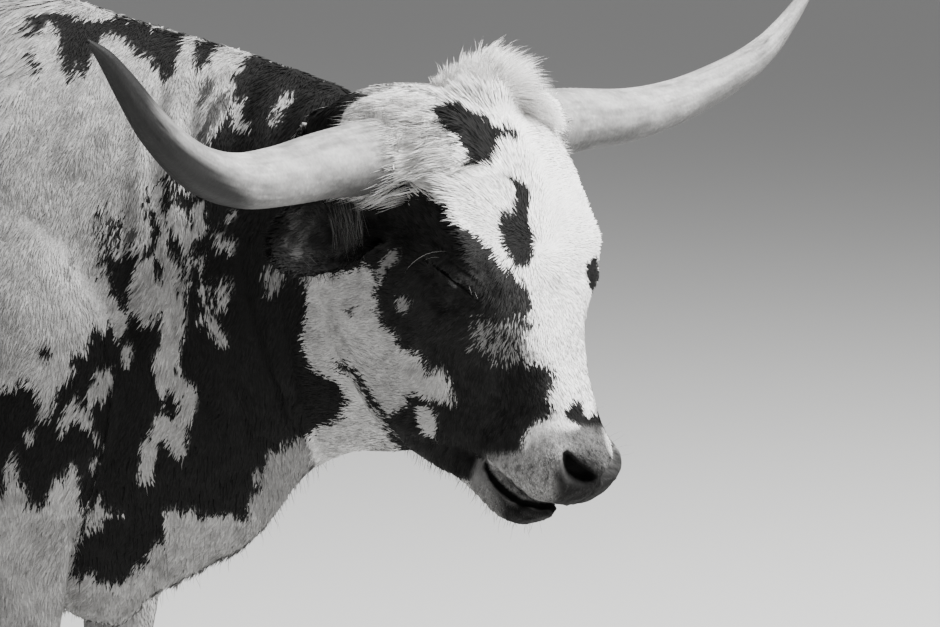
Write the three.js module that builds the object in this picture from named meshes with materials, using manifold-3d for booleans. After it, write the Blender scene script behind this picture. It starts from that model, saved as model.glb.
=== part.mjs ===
// A standing adult longhorn with its head lowered and turned to its right, in millimetres.
// +X is forward along the trunk, +Y is the animal's left, +Z is up, and the soles stand on z = 0.
import * as THREE from "three";
import Module from "manifold-3d";

const wasm = await Module();
wasm.setup();
const { Manifold, Mesh } = wasm;
const V = (x, y, z) => new THREE.Vector3(x, y, z);
const RAD = Math.PI / 180;
const UP = V(0, 0, 1);

// Driving sizes.
const WITHERS = 1370; // height of the back over the forelegs
const GAP = 0.3; // air between neighbouring parts
const HEAD_SCALE = 1.0145;
const POLL = V(670, -113.3, 1273.7); // origin of the head's own measures
const HEAD_TURN = -24.03 * RAD; // heading of the head against the trunk
const HEAD_ROLL = 4.43 * RAD; // left side low
const FACE_TILT = 57.7 * RAD; // face line under the horizontal
const NECK_TURN_FROM = 180; // the neck bends between these stations
const NECK_TURN_TO = 640;
const TRUNK_SIDES = 24;
const HEAD_SIDES = 24;

// Seeded numbers in 0..1 for the hair.
function seeded(seed) {
  let s = seed >>> 0;
  return () => {
    s = (Math.imul(s ^ (s >>> 15), 2246822519) + 3266489917) >>> 0;
    const t = Math.imul(s ^ (s >>> 13), 668265263) >>> 0;
    return ((t ^ (t >>> 16)) >>> 0) / 4294967296;
  };
}

// Flat tapered lock from a root: it leaves along `dir`, bends by `bend` and ends in a point.
const LOCK_STEPS = [0, 0.28, 0.62];
function lock({ root, dir, across, bend, length, width, thick }) {
  const points = [];
  const tris = [];
  const face = dir.clone().cross(across).normalize();
  const at = (t) =>
    root.clone().addScaledVector(dir, length * t).addScaledVector(bend, length * t * t);
  LOCK_STEPS.forEach((t, k) => {
    const half = (width / 2) * [0.8, 1, 0.68][k];
    const deep = (thick / 2) * [1, 1, 0.7][k];
    const c = at(t);
    points.push(
      c.clone().addScaledVector(across, half).addScaledVector(face, -deep),
      c.clone().addScaledVector(face, deep),
      c.clone().addScaledVector(across, -half).addScaledVector(face, -deep),
    );
  });
  points.push(at(1));
  for (let k = 0; k < 2; k++)
    for (let j = 0; j < 3; j++) {
      const [a, b] = [3 * k + j, 3 * k + ((j + 1) % 3)];
      tris.push(a, b, b + 3, a, b + 3, a + 3);
    }
  tris.push(2, 1, 0);
  for (let j = 0; j < 3; j++) tris.push(6 + j, 6 + ((j + 1) % 3), 9);
  return solid(points, tris);
}

// Smooth value of every column of a station table at s, without overshoot.
function station(table, s) {
  const n = table.length;
  if (s <= table[0][0]) return table[0].slice(1);
  if (s >= table[n - 1][0]) return table[n - 1].slice(1);
  let i = 0;
  while (table[i + 1][0] < s) i++;
  const slope = (k, c) => (table[k + 1][c] - table[k][c]) / (table[k + 1][0] - table[k][0]);
  const tangent = (k, c) => {
    if (k === 0) return slope(0, c);
    if (k === n - 1) return slope(n - 2, c);
    const a = slope(k - 1, c);
    const b = slope(k, c);
    return a * b <= 0 ? 0 : (2 * a * b) / (a + b);
  };
  const h = table[i + 1][0] - table[i][0];
  const t = (s - table[i][0]) / h;
  const out = [];
  for (let c = 1; c < table[0].length; c++) {
    const a = table[i][c];
    const b = table[i + 1][c];
    const ma = tangent(i, c) * h;
    const mb = tangent(i + 1, c) * h;
    out.push(
      a * (1 + 2 * t) * (1 - t) ** 2 + ma * t * (1 - t) ** 2 + b * t * t * (3 - 2 * t) + mb * t * t * (t - 1),
    );
  }
  return out;
}

// Solid from points and triangles, turned outwards.
function solid(points, tris) {
  let volume = 0;
  for (let i = 0; i < tris.length; i += 3) {
    const [a, b, c] = [points[tris[i]], points[tris[i + 1]], points[tris[i + 2]]];
    volume += a.dot(b.clone().cross(c)) / 6;
  }
  if (volume < 0) for (let i = 0; i < tris.length; i += 3) [tris[i], tris[i + 1]] = [tris[i + 1], tris[i]];
  const mesh = new Mesh({
    numProp: 3,
    vertProperties: new Float32Array(points.flatMap((p) => [p.x, p.y, p.z])),
    triVerts: new Uint32Array(tris),
  });
  mesh.merge();
  return new Manifold(mesh);
}

// Closed loft through rings with the same number of points.
function loft(rings) {
  const n = rings[0].length;
  const points = rings.flat();
  const tris = [];
  for (let i = 0; i + 1 < rings.length; i++)
    for (let j = 0; j < n; j++) {
      const a = i * n + j;
      const b = i * n + ((j + 1) % n);
      tris.push(a, b, b + n, a, b + n, a + n);
    }
  for (const [k, flip] of [[0, true], [rings.length - 1, false]]) {
    const c = points.length;
    points.push(rings[k].reduce((s, p) => s.add(p), V(0, 0, 0)).multiplyScalar(1 / n));
    for (let j = 0; j < n; j++) {
      const a = k * n + j;
      const b = k * n + ((j + 1) % n);
      tris.push(...(flip ? [c, b, a] : [c, a, b]));
    }
  }
  return solid(points, tris);
}

// Loft along a path of {p, x, y, a, b}: ellipses of half sizes a and b on the axes x and y.
function tube(path, sides, power = 1) {
  return loft(
    path.map(({ p, x, y, a, b }) =>
      Array.from({ length: sides }, (_, j) => {
        const t = (2 * Math.PI * j) / sides;
        const c = Math.sign(Math.cos(t)) * Math.abs(Math.cos(t)) ** power;
        const s = Math.sign(Math.sin(t)) * Math.abs(Math.sin(t)) ** power;
        return p.clone().addScaledVector(x, a * c).addScaledVector(y, b * s);
      }),
    ),
  );
}

// Ellipsoid of half sizes along three axes.
function ball(c, axes, half, rings = 8, sides = 12) {
  const path = [];
  for (let i = 1; i < rings; i++) {
    const t = -Math.PI / 2 + (Math.PI * i) / rings;
    const p = c.clone().addScaledVector(axes[2], half[2] * Math.sin(t));
    path.push({ p, x: axes[0], y: axes[1], a: half[0] * Math.cos(t), b: half[1] * Math.cos(t) });
  }
  const points = [];
  const tris = [];
  for (const { p, x, y, a, b } of path)
    for (let j = 0; j < sides; j++) {
      const t = (2 * Math.PI * j) / sides;
      points.push(p.clone().addScaledVector(x, a * Math.cos(t)).addScaledVector(y, b * Math.sin(t)));
    }
  const last = path.length - 1;
  for (let i = 0; i < last; i++)
    for (let j = 0; j < sides; j++) {
      const a = i * sides + j;
      const b = i * sides + ((j + 1) % sides);
      tris.push(a, b, b + sides, a, b + sides, a + sides);
    }
  for (const [k, sign] of [[0, -1], [last, 1]]) {
    const tip = points.length;
    points.push(c.clone().addScaledVector(axes[2], sign * half[2]));
    for (let j = 0; j < sides; j++) {
      const a = k * sides + j;
      const b = k * sides + ((j + 1) % sides);
      tris.push(...(sign < 0 ? [tip, b, a] : [tip, a, b]));
    }
  }
  return solid(points, tris);
}

// Block on one side of a plane: everything further than `from` along the unit direction n.
function beyond(c, n, from = 0, size = 4000) {
  const side = Math.abs(n.z) < 0.9 ? V(0, 0, 1) : V(1, 0, 0);
  const x = side.clone().cross(n).normalize();
  const y = n.clone().cross(x);
  const ring = (d) =>
    [[-1, -1], [1, -1], [1, 1], [-1, 1]].map(([i, j]) =>
      c.clone().addScaledVector(n, d).addScaledVector(x, i * size).addScaledVector(y, j * size),
    );
  return loft([ring(from), ring(size)]);
}

function largest(made) {
  const pieces = made.decompose();
  return pieces.reduce((a, b) => (a.volume() > b.volume() ? a : b));
}

function unite(list) {
  return list.reduce((a, b) => a.add(b));
}

// Smooth step of t between 0 and 1.
const ease = (t) => {
  const k = Math.min(1, Math.max(0, t));
  return k * k * (3 - 2 * k);
};

// Outward swelling of a point p away from `core`, from lumps {at, r, h}.
function swell(p, core, lumps) {
  const out = p.clone().sub(core).normalize();
  let h = 0;
  for (const l of lumps) {
    const d = p.clone().sub(l.at).divide(l.r).lengthSq();
    if (d < 6) h += l.h * Math.exp(-d * 1.6);
  }
  return p.clone().addScaledVector(out, h);
}

// Trunk and neck.
// Spine of the trunk on plan: distance s along it, heading turning over the neck.
const heading = (s) => HEAD_TURN * ease((s - NECK_TURN_FROM) / (NECK_TURN_TO - NECK_TURN_FROM));
function spine(s) {
  const step = 5;
  let [x, y] = [Math.min(s, NECK_TURN_FROM), 0];
  for (let k = NECK_TURN_FROM; k < s; k += step) {
    const d = Math.min(step, s - k);
    const a = heading(k + d / 2);
    x += d * Math.cos(a);
    y += d * Math.sin(a);
  }
  return V(x, y, 0);
}

// s, top, bottom, half width, height of the widest place, roundness over and under it.
const TRUNK = [
  [-1322, 1296, 1040, 84, 1190, 1, 1],
  [-1305, 1312, 965, 128, 1185, 0.95, 1],
  [-1265, 1330, 895, 172, 1175, 0.9, 1],
  [-1200, 1344, 845, 205, 1150, 0.85, 1],
  [-1100, 1354, 800, 232, 1120, 0.8, 1],
  [-980, 1358, 765, 248, 1080, 0.8, 0.95],
  [-850, 1350, 722, 262, 1030, 0.85, 0.9],
  [-700, 1340, 676, 282, 985, 0.9, 0.85],
  [-500, 1330, 632, 298, 955, 0.95, 0.85],
  [-330, 1330, 608, 290, 950, 1, 0.85],
  [-190, 1346, 602, 268, 965, 1.1, 0.9],
  [-90, 1364, 598, 246, 980, 1.2, 1],
  [0, WITHERS, 560, 232, 990, 1.3, 1.3],
  [60, 1366, 520, 222, 1000, 1.35, 1.6],
  [110, 1353, 517, 210, 1010, 1.4, 1.8],
  [150, 1342, 552, 198, 1020, 1.4, 1.9],
  [200, 1330, 582, 180, 1025, 1.4, 1.9],
  [250, 1318, 612, 164, 1030, 1.35, 1.9],
  [300, 1307, 642, 150, 1035, 1.3, 1.9],
  [340, 1296, 680, 140, 1035, 1.3, 1.9],
  [380, 1285, 735, 132, 1035, 1.25, 1.8],
  [430, 1270, 776, 124, 1030, 1.2, 1.7],
  [480, 1256, 796, 118, 1020, 1.15, 1.6],
  [540, 1244, 806, 112, 1010, 1.1, 1.5],
  [600, 1236, 822, 104, 1005, 1.1, 1.4],
  [650, 1225, 850, 90, 1005, 1.1, 1.3],
];
const TRUNK_LUMPS = [];
for (const side of [-1, 1])
  TRUNK_LUMPS.push(
    { at: V(-955, side * 225, 1290), r: V(95, 80, 75), h: 20 }, // hook bone
    { at: V(-1300, side * 110, 1262), r: V(60, 60, 55), h: 12 }, // pin bone
    { at: V(-800, side * 262, 1170), r: V(130, 90, 120), h: -18 }, // hollow of the flank
    { at: V(-1130, side * 215, 1250), r: V(120, 90, 70), h: -12 }, // between hook and pin
    { at: V(-150, side * 250, 1090), r: V(70, 120, 170), h: -9 }, // behind the shoulder
    { at: V(190, side * 180, 1080), r: V(90, 120, 150), h: -8 }, // before the shoulder
  );

function trunkRing(s) {
  const [top, bottom, half, mid, up, down] = station(TRUNK, s);
  const c = spine(s).setZ(mid);
  const a = heading(s);
  const left = V(-Math.sin(a), Math.cos(a), 0);
  const ring = [];
  for (let j = 0; j < TRUNK_SIDES; j++) {
    const t = (2 * Math.PI * j) / TRUNK_SIDES;
    const [ct, st] = [Math.cos(t), Math.sin(t)];
    const y = half * Math.sign(ct) * Math.abs(ct) ** (st > 0 ? up : down);
    const z = st > 0 ? (top - mid) * st : (mid - bottom) * st;
    ring.push(swell(c.clone().addScaledVector(left, y).add(V(0, 0, z)), c, TRUNK_LUMPS));
  }
  return ring;
}

const TRUNK_AT = [];
for (let s = -1322; s < -1200; s += 30) TRUNK_AT.push(s);
for (let s = -1190; s < 0; s += 99) TRUNK_AT.push(s);
for (let s = 0; s <= 655; s += 43) TRUNK_AT.push(s);
const trunk = loft(TRUNK_AT.map(trunkRing));

// Legs.
// Height, centre along x, distance from the middle, half length, half width.
const FORELEG = [
  [1180, 5, 128, 105, 58],
  [1060, 35, 152, 135, 72],
  [940, 62, 172, 145, 80],
  [840, 66, 178, 132, 78],
  [760, 55, 174, 116, 72],
  [700, 42, 166, 102, 64],
  [640, 38, 158, 84, 56],
  [570, 36, 151, 69, 49],
  [500, 36, 147, 56, 44],
  [430, 39, 144, 48, 41],
  [395, 42, 143, 48, 43],
  [365, 43, 143, 49, 44],
  [330, 40, 143, 43, 40],
  [295, 34, 143, 34, 33],
  [230, 30, 143, 30, 28],
  [165, 28, 143, 32, 29],
  [135, 28, 143, 39, 36],
  [112, 34, 143, 38, 37],
  [92, 42, 143, 36, 37],
  [76, 50, 143, 39, 40],
];
const HINDLEG = [
  [1220, -1075, 110, 190, 80],
  [1100, -1090, 150, 215, 84],
  [980, -1085, 172, 222, 84],
  [880, -1072, 180, 212, 80],
  [800, -1070, 176, 190, 74],
  [730, -1095, 166, 152, 66],
  [670, -1135, 156, 120, 57],
  [610, -1185, 149, 92, 48],
  [560, -1225, 145, 76, 42],
  [520, -1250, 143, 70, 42],
  [485, -1262, 142, 60, 41],
  [450, -1262, 142, 48, 38],
  [400, -1254, 142, 38, 33],
  [320, -1240, 142, 34, 29],
  [220, -1226, 142, 33, 29],
  [160, -1218, 142, 36, 32],
  [132, -1213, 142, 42, 38],
  [110, -1204, 142, 38, 37],
  [90, -1195, 142, 37, 37],
  [76, -1187, 142, 40, 40],
];
const SOLE_TOP = 76;
const LEG_SIDES = 12;

function leg(table, side, offset) {
  const rows = [...table].reverse();
  const rings = [];
  const heights = [];
  for (let z = SOLE_TOP; z < 180; z += 15) heights.push(z);
  for (let z = 190; z < 620; z += 36) heights.push(z);
  for (let z = 640; z <= 1181; z += 60) heights.push(z);
  for (const z of heights) {
    const [x, y, a, b] = station(rows, z);
    const lean = offset * ease((620 - z) / 560);
    rings.push({ p: V(x + lean, side * y, z), x: V(1, 0, 0), y: V(0, side, 0), a, b });
  }
  return tube(rings, LEG_SIDES, 0.92);
}

// One claw of a hoof, toe forward, inner faces side by side.
const CLAW_LENGTH = 118;
const CLAW_WIDTH = 46;
const CLAW_HEIGHT = 74;
const CLAW_SIDES = 12;
function claw(x, y, side) {
  const rings = [];
  for (const [h, back, length, width] of [
    [0, -30, CLAW_LENGTH, CLAW_WIDTH],
    [8, -30, CLAW_LENGTH - 2, CLAW_WIDTH],
    [30, -32, CLAW_LENGTH - 16, CLAW_WIDTH - 2],
    [54, -36, CLAW_LENGTH - 34, CLAW_WIDTH - 5],
    [CLAW_HEIGHT, -38, CLAW_LENGTH - 46, CLAW_WIDTH - 8],
  ]) {
    const ring = [];
    for (let j = 0; j < CLAW_SIDES; j++) {
      const t = (2 * Math.PI * j) / CLAW_SIDES;
      const fore = Math.cos(t);
      const across = Math.sin(t);
      const px = back + length / 2 + (length / 2) * fore;
      const taper = 1 - 0.34 * ease((fore - 0.1) / 1.1) - 0.12 * ease((-fore - 0.3) / 0.9);
      const w = (width / 2) * across * taper;
      const inner = across * side < 0 ? 0.9 : 1.04;
      ring.push(V(x + px, y + w * inner - side * 5 * ease((fore - 0.3) / 0.9), h));
    }
    rings.push(ring);
  }
  return loft(rings);
}

// Head.
const ahead = V(Math.cos(HEAD_TURN), Math.sin(HEAD_TURN), 0);
const level = V(-Math.sin(HEAD_TURN), Math.cos(HEAD_TURN), 0);
const LEFT = level.clone().multiplyScalar(Math.cos(HEAD_ROLL)).add(V(0, 0, -Math.sin(HEAD_ROLL)));
const crown = ahead.clone().cross(LEFT);
const DOWN = ahead.clone().multiplyScalar(Math.cos(FACE_TILT)).addScaledVector(crown, -Math.sin(FACE_TILT));
const OUT = ahead.clone().multiplyScalar(Math.sin(FACE_TILT)).addScaledVector(crown, Math.cos(FACE_TILT));
// Head measures: u down the face from the poll, a to the animal's left, w out of the face.
const head = (u, a, w) =>
  POLL.clone()
    .addScaledVector(DOWN, u * HEAD_SCALE)
    .addScaledVector(LEFT, a * HEAD_SCALE)
    .addScaledVector(OUT, w * HEAD_SCALE);
const headDir = (u, a, w) =>
  V(0, 0, 0).addScaledVector(DOWN, u).addScaledVector(LEFT, a).addScaledVector(OUT, w).normalize();

// u, then top w, and pairs a, w round one side to the bottom w.
const SKULL = [
  [-60, -88, 66, -100, 104, -150, 104, -205, 70, -262, -278],
  [-35, -58, 80, -68, 124, -110, 106, -195, 78, -264, -284],
  [-8, -28, 92, -36, 136, -76, 106, -185, 84, -268, -292],
  [25, -8, 96, -13, 140, -56, 106, -178, 88, -274, -300],
  [60, 2, 97, -3, 138, -46, 106, -172, 90, -280, -306],
  [100, 5, 96, 0, 130, -36, 106, -170, 90, -286, -312],
  [140, 4, 95, -1, 123, -31, 106, -170, 88, -290, -317],
  [180, 0, 92, -6, 121, -29, 105, -168, 84, -293, -320],
  [212, -6, 86, -12, 121, -37, 102, -168, 79, -293, -321],
  [245, -12, 74, -20, 110, -52, 98, -168, 74, -290, -321],
  [280, -18, 60, -27, 92, -70, 92, -164, 69, -285, -318],
  [320, -23, 47, -33, 74, -84, 84, -158, 62, -264, -298],
  [360, -28, 40, -38, 64, -88, 75, -150, 54, -216, -246],
  [395, -32, 38, -42, 60, -84, 69, -138, 48, -166, -180],
  [425, -34, 42, -45, 63, -78, 67, -118, 46, -140, -150],
  [448, -34, 45, -46, 65, -74, 65, -106, 44, -127, -135],
  [466, -36, 44, -49, 63, -75, 59, -102, 40, -118, -124],
  [479, -44, 38, -57, 53, -78, 49, -98, 32, -110, -114],
  [488, -56, 28, -67, 38, -82, 35, -94, 22, -102, -104],
  [494, -70, 13, -77, 17, -84, 14, -90, 9, -94, -95],
];
const JAW = [
  [250, -190, 50, -200, 76, -228, 68, -276, 42, -306, -318],
  [300, -180, 48, -190, 70, -216, 64, -264, 41, -296, -312],
  [335, -172, 46, -180, 65, -204, 60, -246, 39, -279, -294],
  [370, -162, 43, -169, 59, -190, 54, -222, 36, -250, -264],
  [405, -154, 41, -159, 53, -177, 49, -200, 33, -214, -223],
  [435, -149, 38, -153, 48, -168, 45, -184, 31, -195, -201],
  [460, -144, 36, -148, 44, -160, 41, -175, 27, -184, -189],
  [476, -140, 31, -143, 37, -153, 34, -166, 22, -173, -176],
  [488, -141, 18, -143, 23, -150, 21, -158, 13, -162, -164],
];
const JAW_SHIFT = -9; // the lower jaw is swung to the animal's right in mid chew
const HEAD_LUMPS = [];
for (const side of [-1, 1])
  for (const [u, a, w, ru, ra, rw, h] of [
    [188, 116, -22, 30, 30, 20, 5], // brow over the eye
    [258, 100, -84, 36, 24, 16, 6], // cheek bone under the eye
    [314, 78, -102, 46, 24, 16, 5],
    [205, 104, -205, 62, 50, 54, 7], // chewing muscle
    [132, 112, -84, 30, 26, 26, -6], // hollow of the temple
    [456, 50, -50, 20, 22, 16, 4], // wing of the nostril
    [394, 66, -124, 22, 20, 16, 5], // corner of the mouth
    [434, 62, -116, 26, 24, 20, 4], // upper lip
  ])
    HEAD_LUMPS.push({ u, a: side * a, w, ru, ra, rw, h });

// Closed smooth curve through the points, `count` samples evenly over the spans.
function closed(points, count) {
  const n = points.length;
  return Array.from({ length: count }, (_, k) => {
    const f = (k * n) / count;
    const i = Math.floor(f);
    const t = f - i;
    const [p0, p1, p2, p3] = [-1, 0, 1, 2].map((d) => points[(i + d + n) % n]);
    return p1.map(
      (_, c) =>
        0.5 *
        (2 * p1[c] +
          (p2[c] - p0[c]) * t +
          (2 * p0[c] - 5 * p1[c] + 4 * p2[c] - p3[c]) * t * t +
          (3 * p1[c] - p0[c] - 3 * p2[c] + p3[c]) * t ** 3),
    );
  });
}

function headRing(table, u, shift, sides) {
  const [wt, a1, w1, a2, w2, a3, w3, a4, w4, wb] = station(table, u);
  const half = [[a1, w1], [a2, w2], [a3, w3], [a4, w4]];
  const outline = [[0, wt], ...half, [0, wb], ...half.map(([a, w]) => [-a, w]).reverse()];
  return closed(outline, sides).map(([a, w]) => {
    let h = 0;
    for (const l of HEAD_LUMPS) {
      const d = ((u - l.u) / l.ru) ** 2 + ((a - l.a) / l.ra) ** 2 + ((w - l.w) / l.rw) ** 2;
      if (d < 6) h += l.h * Math.exp(-d);
    }
    const core = (wt + wb) / 2;
    const r = Math.hypot(a, w - core) || 1;
    return head(u, a + (h * a) / r + shift, w + (h * (w - core)) / r);
  });
}

const SKULL_AT = [-60, -28, 4, 36, 68, 100, 130, 156, 180, 204, 228, 252, 276, 304, 334, 362, 384, 404, 422];
SKULL_AT.push(438, 452, 465, 476, 484, 491);
const JAW_AT = [250, 290, 330, 365, 395, 420, 440, 456, 469, 479, 486];
const skull = loft(SKULL_AT.map((u) => headRing(SKULL, u, 0, HEAD_SIDES)));
const jaw = loft(JAW_AT.map((u) => headRing(JAW, u, JAW_SHIFT * ease((u - 330) / 120), 20)));

// Eyes: a ball behind nearly closed lids; the slit runs forward and down.
const EYE = { u: 219, a: 99, w: -47, r: 19 };
const SLIT = { half: 28, height: 2 };
const LIDS = [37, 27, 24];
function eyeParts(side) {
  const c = head(EYE.u, side * EYE.a, EYE.w);
  const along = headDir(0.78, side * -0.24, 0.58);
  const outward = LEFT.clone().multiplyScalar(side).addScaledVector(DOWN, 0.25).addScaledVector(OUT, 0.1);
  outward.addScaledVector(along, -outward.dot(along)).normalize();
  const across = outward.clone().cross(along).multiplyScalar(side);
  const lids = ball(c.clone().addScaledVector(along, -4), [along, across, outward], LIDS, 10, 14);
  const room = EYE.r + 3 * GAP;
  const socket = ball(c, [along, across, outward], [room, room, room], 10, 12);
  const eye = ball(c, [along, across, outward], [EYE.r, EYE.r, EYE.r], 10, 12);
  const path = [];
  for (const d of [6, 16, 26, 40])
    path.push({
      p: c.clone().addScaledVector(outward, d).addScaledVector(across, -3),
      x: along,
      y: across,
      a: SLIT.half * (d < 20 ? 0.86 : 1),
      b: SLIT.height,
    });
  return { lids, eye, hollow: socket.add(tube(path, 10)) };
}

// Nostril: a tapering comma-shaped hollow that runs back and in.
function nostril(side) {
  const rings = [];
  for (const [d, a, b] of [[-14, 15, 9], [0, 14, 8], [14, 11, 6.5], [30, 6, 4]]) {
    const c = head(461 - d * 0.62, side * (41 - d * 0.34), -42 - d * 0.62);
    rings.push({ p: c, x: headDir(0.75, side * 0.25, -0.6), y: headDir(0.5, side * 0.5, 0.55), a, b });
  }
  return tube(rings, 10);
}

// Horns.
// u, a, w of the middle of the horn, then its radius.
const HORN_RIGHT = [
  [48, 108, -59, 45],
  [58, 142, -60, 44],
  [70, 232, -60, 37.5],
  [88, 315, -50, 32.5],
  [98, 384, -40, 29],
  [95, 442, -25, 25.5],
  [83, 488, -5, 22],
  [61, 528, 15, 18.5],
  [30, 568, 40, 13.5],
  [11, 599, 60, 8.5],
  [2, 627, 75, 2.4],
];
const HORN_LEFT = [
  [28, 108, -59, 44],
  [18, 150, -60, 42.5],
  [10, 220, -60, 38.5],
  [7, 301, -55, 34],
  [0, 366, -45, 30],
  [-10, 425, -22, 26],
  [-26, 484, 10, 21.5],
  [-42, 520, 32, 18],
  [-62, 550, 50, 14.5],
  [-98, 591, 78, 9],
  [-142, 634, 97, 2.4],
];
const HORN_RINGS = 19;
const HORN_SIDES = 12;

function horn(table, side, grow) {
  const middle = table.map(([u, a, w]) => head(u, side * a, w));
  const curve = new THREE.CatmullRomCurve3(middle, false, "centripetal");
  const path = [];
  for (let i = 0; i <= HORN_RINGS; i++) {
    const t = i / HORN_RINGS;
    const k = t * (table.length - 1);
    const j = Math.min(table.length - 2, Math.floor(k));
    const r = table[j][3] + (table[j + 1][3] - table[j][3]) * (k - j);
    const p = curve.getPoint(t);
    const d = curve.getTangent(t);
    const x = OUT.clone().cross(d).normalize();
    const size = r * HEAD_SCALE;
    if (i === 0) p.addScaledVector(d, -grow);
    path.push({ p, x, y: d.clone().cross(x), a: size * 1.03 + grow, b: size * 0.97 + grow });
  }
  return tube(path, HORN_SIDES);
}

// Collar of hair that wraps the root of a horn.
const COLLAR = [[84, 9], [118, 10], [142, 8.5], [158, 4]];
function collar(table, side) {
  const rows = table.map(([u, a, w, r]) => [a, u, w, r]);
  const path = COLLAR.map(([a, grow]) => {
    const [u, w, r] = station(rows, a);
    return { p: head(u, side * a, w), x: DOWN, y: OUT, a: r + grow, b: r + grow };
  });
  return tube(path, HORN_SIDES + 4);
}

// Long hair of the poll: a mound between the horns, with locks laid over it like shingles.
const random = seeded(7);
const vary = (spread) => 1 + spread * (2 * random() - 1);
const MOP = { at: head(4, 38, -34), half: [58, 74, 56], lock: 76, width: 38, thick: 9, sunk: 6 };
const MOP_ROWS = [[0.95, 11], [0.66, 8], [0.36, 6], [0.08, 3]]; // reach from the top, locks
const mop = ball(MOP.at, [DOWN, LEFT, OUT], MOP.half, 8, 12);
function mopLocks() {
  const locks = [];
  const top = [-0.62, 0.1, 0.78];
  const onMop = (reach, turn) => {
    const [c, s] = [Math.cos(reach), Math.sin(reach)];
    const round = [0.78 * Math.sin(turn), Math.cos(turn), 0.62 * Math.sin(turn)];
    const n = top.map((t, i) => t * c + round[i] * s);
    const [u, a, w] = n.map((t, i) => t * MOP.half[i]);
    return MOP.at.clone().addScaledVector(DOWN, u).addScaledVector(LEFT, a).addScaledVector(OUT, w);
  };
  for (const [reach, count] of MOP_ROWS)
    for (let k = 0; k < count; k++) {
      const turn = (2 * Math.PI * (k + 0.5 * (count % 2) + 0.3 * (random() - 0.5))) / count;
      const r = (reach * Math.PI) / 2;
      const p = onMop(r, turn);
      const lie = onMop(r + 0.1, turn).sub(p).normalize();
      const across = onMop(r, turn + 0.1).sub(p).normalize();
      const out = p.clone().sub(MOP.at).normalize();
      const root = p.clone().addScaledVector(out, -MOP.sunk).addScaledVector(lie, -10);
      const dir = lie.addScaledVector(out, 0.6 * vary(0.25)).addScaledVector(across, 0.3 * (random() - 0.5));
      const bend = out.multiplyScalar(-0.38).addScaledVector(UP, -0.08);
      const length = MOP.lock * vary(0.15);
      const width = MOP.width * vary(0.15);
      locks.push(lock({ root, dir: dir.normalize(), across, bend, length, width, thick: MOP.thick }));
    }
  return locks;
}

// Long hair swept from the forehead over the root of a horn.
const SWEEP = { length: 64, width: 29, thick: 8, sunk: 4 };
function sweepLocks(table, side) {
  const locks = [];
  for (const [across, count] of [[62, 4], [88, 3]])
    for (let k = 0; k < count; k++) {
      const u = table[0][0] - 34 + 23 * k + (across > 70 ? 8 : 0);
      const w = station(SKULL, u)[0] - SWEEP.sunk;
      const dir = headDir(0.18 * vary(0.5), side, 0.2 * vary(0.4));
      const bend = headDir(0.3, 0, -1).multiplyScalar(0.24);
      const length = SWEEP.length * vary(0.12);
      const root = head(u, side * across, w);
      const width = SWEEP.width * vary(0.2);
      locks.push(lock({ root, dir, across: DOWN, bend, length, width, thick: SWEEP.thick }));
    }
  return locks;
}

// Ears.
// Distance along the ear, half width, depth of the cup, thickness.
const EAR = [
  [-22, 20, 8, 22],
  [0, 25, 14, 20],
  [20, 33, 22, 12],
  [44, 40, 25, 8],
  [74, 45, 23, 6.5],
  [102, 44, 18, 6],
  [128, 37, 12, 5.5],
  [149, 27, 7, 5],
  [165, 14, 3, 4.5],
  [173, 5, 1, 3.5],
];
const EAR_LENGTH = 173;
const EAR_SAG = 9;
function earFrame(side) {
  const base = head(112, side * 112, -118);
  const along = headDir(0.06, side * 0.985, side > 0 ? -0.5 : -0.1); // the left ear is held back
  const open = headDir(0.42, side * (side > 0 ? 0.5 : 0.12), 0.78);
  const across = open.clone().cross(along).normalize();
  return { base, along, across, face: along.clone().cross(across) };
}
function ear(side) {
  const { base, along, across, face } = earFrame(side);
  const rings = EAR.map(([d, half, cup, thick]) => {
    const sag = EAR_SAG * ease(d / EAR_LENGTH);
    const c = base.clone().addScaledVector(along, d).addScaledVector(UP, -sag);
    const outer = [];
    const inner = [];
    for (let j = 0; j <= 6; j++) {
      const k = (j - 3) / 3;
      const depth = -cup * (1 - k * k);
      const at = (lift, narrow) =>
        c.clone().addScaledVector(across, half * k * narrow).addScaledVector(face, depth + lift);
      outer.push(at(-thick / 2, 1));
      inner.push(at(thick / 2, 0.94));
    }
    return [...outer, ...inner.reverse()];
  });
  return loft(rings);
}

// Long hair that spills out of an ear over its rims.
const FRINGE = { length: 62, width: 17, thick: 4.5 };
const FRINGE_AT = [[-1, 34], [-1, 62], [-1, 90], [1, 30], [1, 58], [1, 86], [1, 112]];
function earLocks(side) {
  const { base, along, across, face } = earFrame(side);
  return FRINGE_AT.map(([rim, d]) => {
    const [half, cup] = station(EAR, d);
    const root = base
      .clone()
      .addScaledVector(along, d - 8)
      .addScaledVector(across, rim * half * 0.6)
      .addScaledVector(face, -cup * 0.64 - 1)
      .addScaledVector(UP, -EAR_SAG * ease(d / EAR_LENGTH));
    const dir = along.clone().multiplyScalar(0.75).addScaledVector(across, rim * 0.42 * vary(0.3));
    dir.addScaledVector(face, 0.34).normalize();
    const bend = UP.clone().multiplyScalar(-0.25 * vary(0.4));
    const size = { length: FRINGE.length * vary(0.2), width: FRINGE.width * vary(0.2), thick: FRINGE.thick };
    return lock({ root, dir, across: face.clone().cross(dir).normalize(), bend, ...size });
  });
}

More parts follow.
